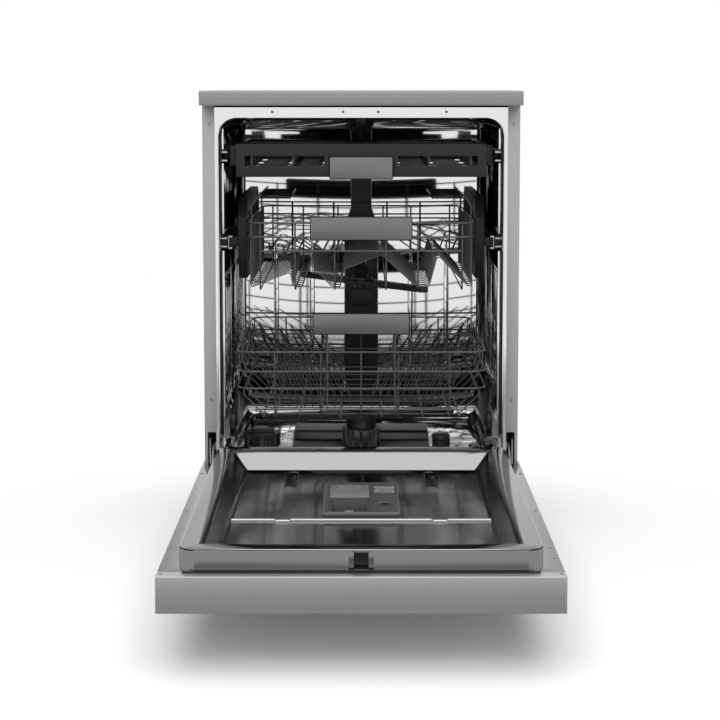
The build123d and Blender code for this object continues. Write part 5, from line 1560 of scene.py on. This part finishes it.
@dataclass
class Studio:
    """Pale floor, soft lamps and the camera."""

    focal_px: float = 1548.3
    frame_px: float = 720.0
    sensor: float = 36.0
    pitch: float = 5.0
    place: Point = (0.0, -2.914, 0.854)
    centre_px: Pair = (361.2, 223.8)
    lit_level: float = 0.45
    seen_level: float = 1.0
    plane_size: float = 12.0
    shadow_middle: Point = (0.0, -0.50, 0.0)
    floor_z: float = -0.0005
    floor_colour: tuple[float, ...] = (0.92, 0.92, 0.92, 1.0)
    floor_fade: Pair = (0.55, 1.15)
    mirrored_z: float = -0.001
    mirrored_colour: tuple[float, ...] = (0.40, 0.40, 0.40, 1.0)
    mirrored_fade: Pair = (0.9, 1.9)

    def camera(self) -> None:
        """Sets the camera just above the worktop, tipped slightly down."""
        data = bpy.data.cameras.new("camera")
        data.sensor_width = self.sensor
        data.lens = self.focal_px * self.sensor / self.frame_px
        data.shift_x = (self.frame_px / 2 - self.centre_px[0]) / self.frame_px
        data.shift_y = (self.centre_px[1] - self.frame_px / 2) / self.frame_px
        made = bpy.data.objects.new("camera", data)
        made.location = self.place
        made.rotation_euler = (math.radians(90 - self.pitch), 0, 0)
        bpy.context.scene.collection.objects.link(made)
        bpy.context.scene.camera = made

    def world(self) -> None:
        """White where it is seen or mirrored, and a plain level where it lights."""
        world = bpy.data.worlds.new("studio_world")
        bpy.context.scene.world = world
        world.use_nodes = True
        nodes, link = world.node_tree.nodes, world.node_tree.links.new
        lamp = nodes["Background"]
        lamp.inputs["Color"].default_value = (1, 1, 1, 1)
        path = nodes.new("ShaderNodeLightPath")
        seen = nodes.new("ShaderNodeMath")
        seen.operation = "MAXIMUM"
        through = nodes.new("ShaderNodeMath")
        through.operation = "MAXIMUM"
        level = nodes.new("ShaderNodeMapRange")
        level.inputs["To Min"].default_value = self.lit_level
        level.inputs["To Max"].default_value = self.seen_level
        link(path.outputs["Is Camera Ray"], seen.inputs[0])
        link(path.outputs["Is Glossy Ray"], seen.inputs[1])
        link(seen.outputs[0], through.inputs[0])
        link(path.outputs["Is Transmission Ray"], through.inputs[1])
        link(through.outputs[0], level.inputs["Value"])
        link(level.outputs["Result"], lamp.inputs["Strength"])

    def fade(self, material: bpy.types.Material, shader: bpy.types.Node, reach: Pair) -> None:
        """Lets a floor run out into the white world round it.

        Args:
            material: the floor's material.
            shader: the shader of its solid part.
            reach: how far from the door's middle it stays solid, and where it is gone.
        """
        nodes, link = material.node_tree.nodes, material.node_tree.links.new
        place = nodes.new("ShaderNodeTexCoord")
        away = nodes.new("ShaderNodeVectorMath")
        away.operation = "DISTANCE"
        away.inputs[1].default_value = self.shadow_middle
        share = nodes.new("ShaderNodeMapRange")
        share.interpolation_type = "SMOOTHSTEP"
        share.inputs["From Min"].default_value, share.inputs["From Max"].default_value = reach
        gone = nodes.new("ShaderNodeBsdfTransparent")
        mix = nodes.new("ShaderNodeMixShader")
        link(place.outputs["Object"], away.inputs[0])
        link(away.outputs["Value"], share.inputs["Value"])
        link(share.outputs["Result"], mix.inputs["Fac"])
        link(shader.outputs[0], mix.inputs[1])
        link(gone.outputs[0], mix.inputs[2])
        link(mix.outputs[0], nodes["Material Output"].inputs["Surface"])

    def plane(self, name: str, height: float) -> tuple[bpy.types.Object, bpy.types.Material]:
        """Adds a wide level plane with a material of its own, as a part of the stage.

        Args:
            name: the plane's and its material's name.
            height: how high it lies.

        Returns:
            The plane and its material.
        """
        BENCH.clear()
        bpy.ops.mesh.primitive_plane_add(size=self.plane_size, location=(0, 0, height))
        made = BENCH.settle(bpy.context.object)
        made.name = name
        material = bpy.data.materials.new(name)
        material.use_nodes = True
        made.data.materials.append(material)
        return made, material

    def floor(self) -> None:
        """Lays a pale floor that keeps the object's shadow, and the grey one that metal mirrors."""
        floor, material = self.plane("studio_floor", self.floor_z)
        shader = material.node_tree.nodes["Principled BSDF"]
        shader.inputs["Base Color"].default_value = self.floor_colour
        shader.inputs["Roughness"].default_value = 1.0
        shader.inputs["Specular IOR Level"].default_value = 0.0
        self.fade(material, shader, self.floor_fade)
        floor.visible_glossy = False
        mirrored, material = self.plane("mirrored_floor", self.mirrored_z)
        glow = material.node_tree.nodes.new("ShaderNodeEmission")
        glow.inputs["Color"].default_value = self.mirrored_colour
        self.fade(material, glow, self.mirrored_fade)
        for way in ("camera", "diffuse", "shadow", "transmission"):
            setattr(mirrored, f"visible_{way}", False)

    def build(self) -> None:
        """Builds the whole studio."""
        bpy.context.scene.view_settings.view_transform = "Standard"
        self.camera()
        self.world()
        self.floor()
        OVERHEAD_LAMP.build()
        FRONT_LAMP.build()


# ================= the whole machine =================

# The body that each grip rides on, the solids that a class models anew, and what is built in order.
BODY_OF_GRIP = {"tray_handle": "cutlery_tray", "upper_basket_handle": "upper_basket",
                "lower_basket_handle": "lower_basket"}

MODELLED = {"worktop", "door_cap", "lower_basket_wires", "upper_basket_wires", "folding_tines_left",
            "folding_tines_right", *BODY_OF_GRIP, *Wheels.nodes()}

PIECES = (
    Worktop(), FrontScrews(), TubDetails(), DoorLinerDetails(), DispenserDetails(), Wheels(), DoorCap(),
    LowerBasket(), UpperBasket(),
    SprayNozzles("lower_spray_arm", turn=8.0,
                 reaches=(-0.17, -0.13, -0.085, -0.045, 0.045, 0.085, 0.13, 0.17)),
    SprayNozzles("upper_spray_arm", turn=-46.0, reaches=(-0.16, -0.12, -0.075, 0.075, 0.12, 0.16)),
    FilterDetails(), *(RackGrip(node, body) for node, body in BODY_OF_GRIP.items()),
)


def main() -> None:
    """Builds the dishwasher's looks, piece by piece, and reports each."""
    logging.basicConfig(level=logging.INFO, format="%(message)s")
    for node in sorted(set(frame["nodes"]) - MODELLED):
        SKIN_OF_NODE.get(node, CadSkin)(node).build()
        LOG.info("dressed %s", node)
    for piece in PIECES:
        piece.build()
        LOG.info("built %s", type(piece).__name__)
    Studio().build()


if __name__ == "__main__":
    main()
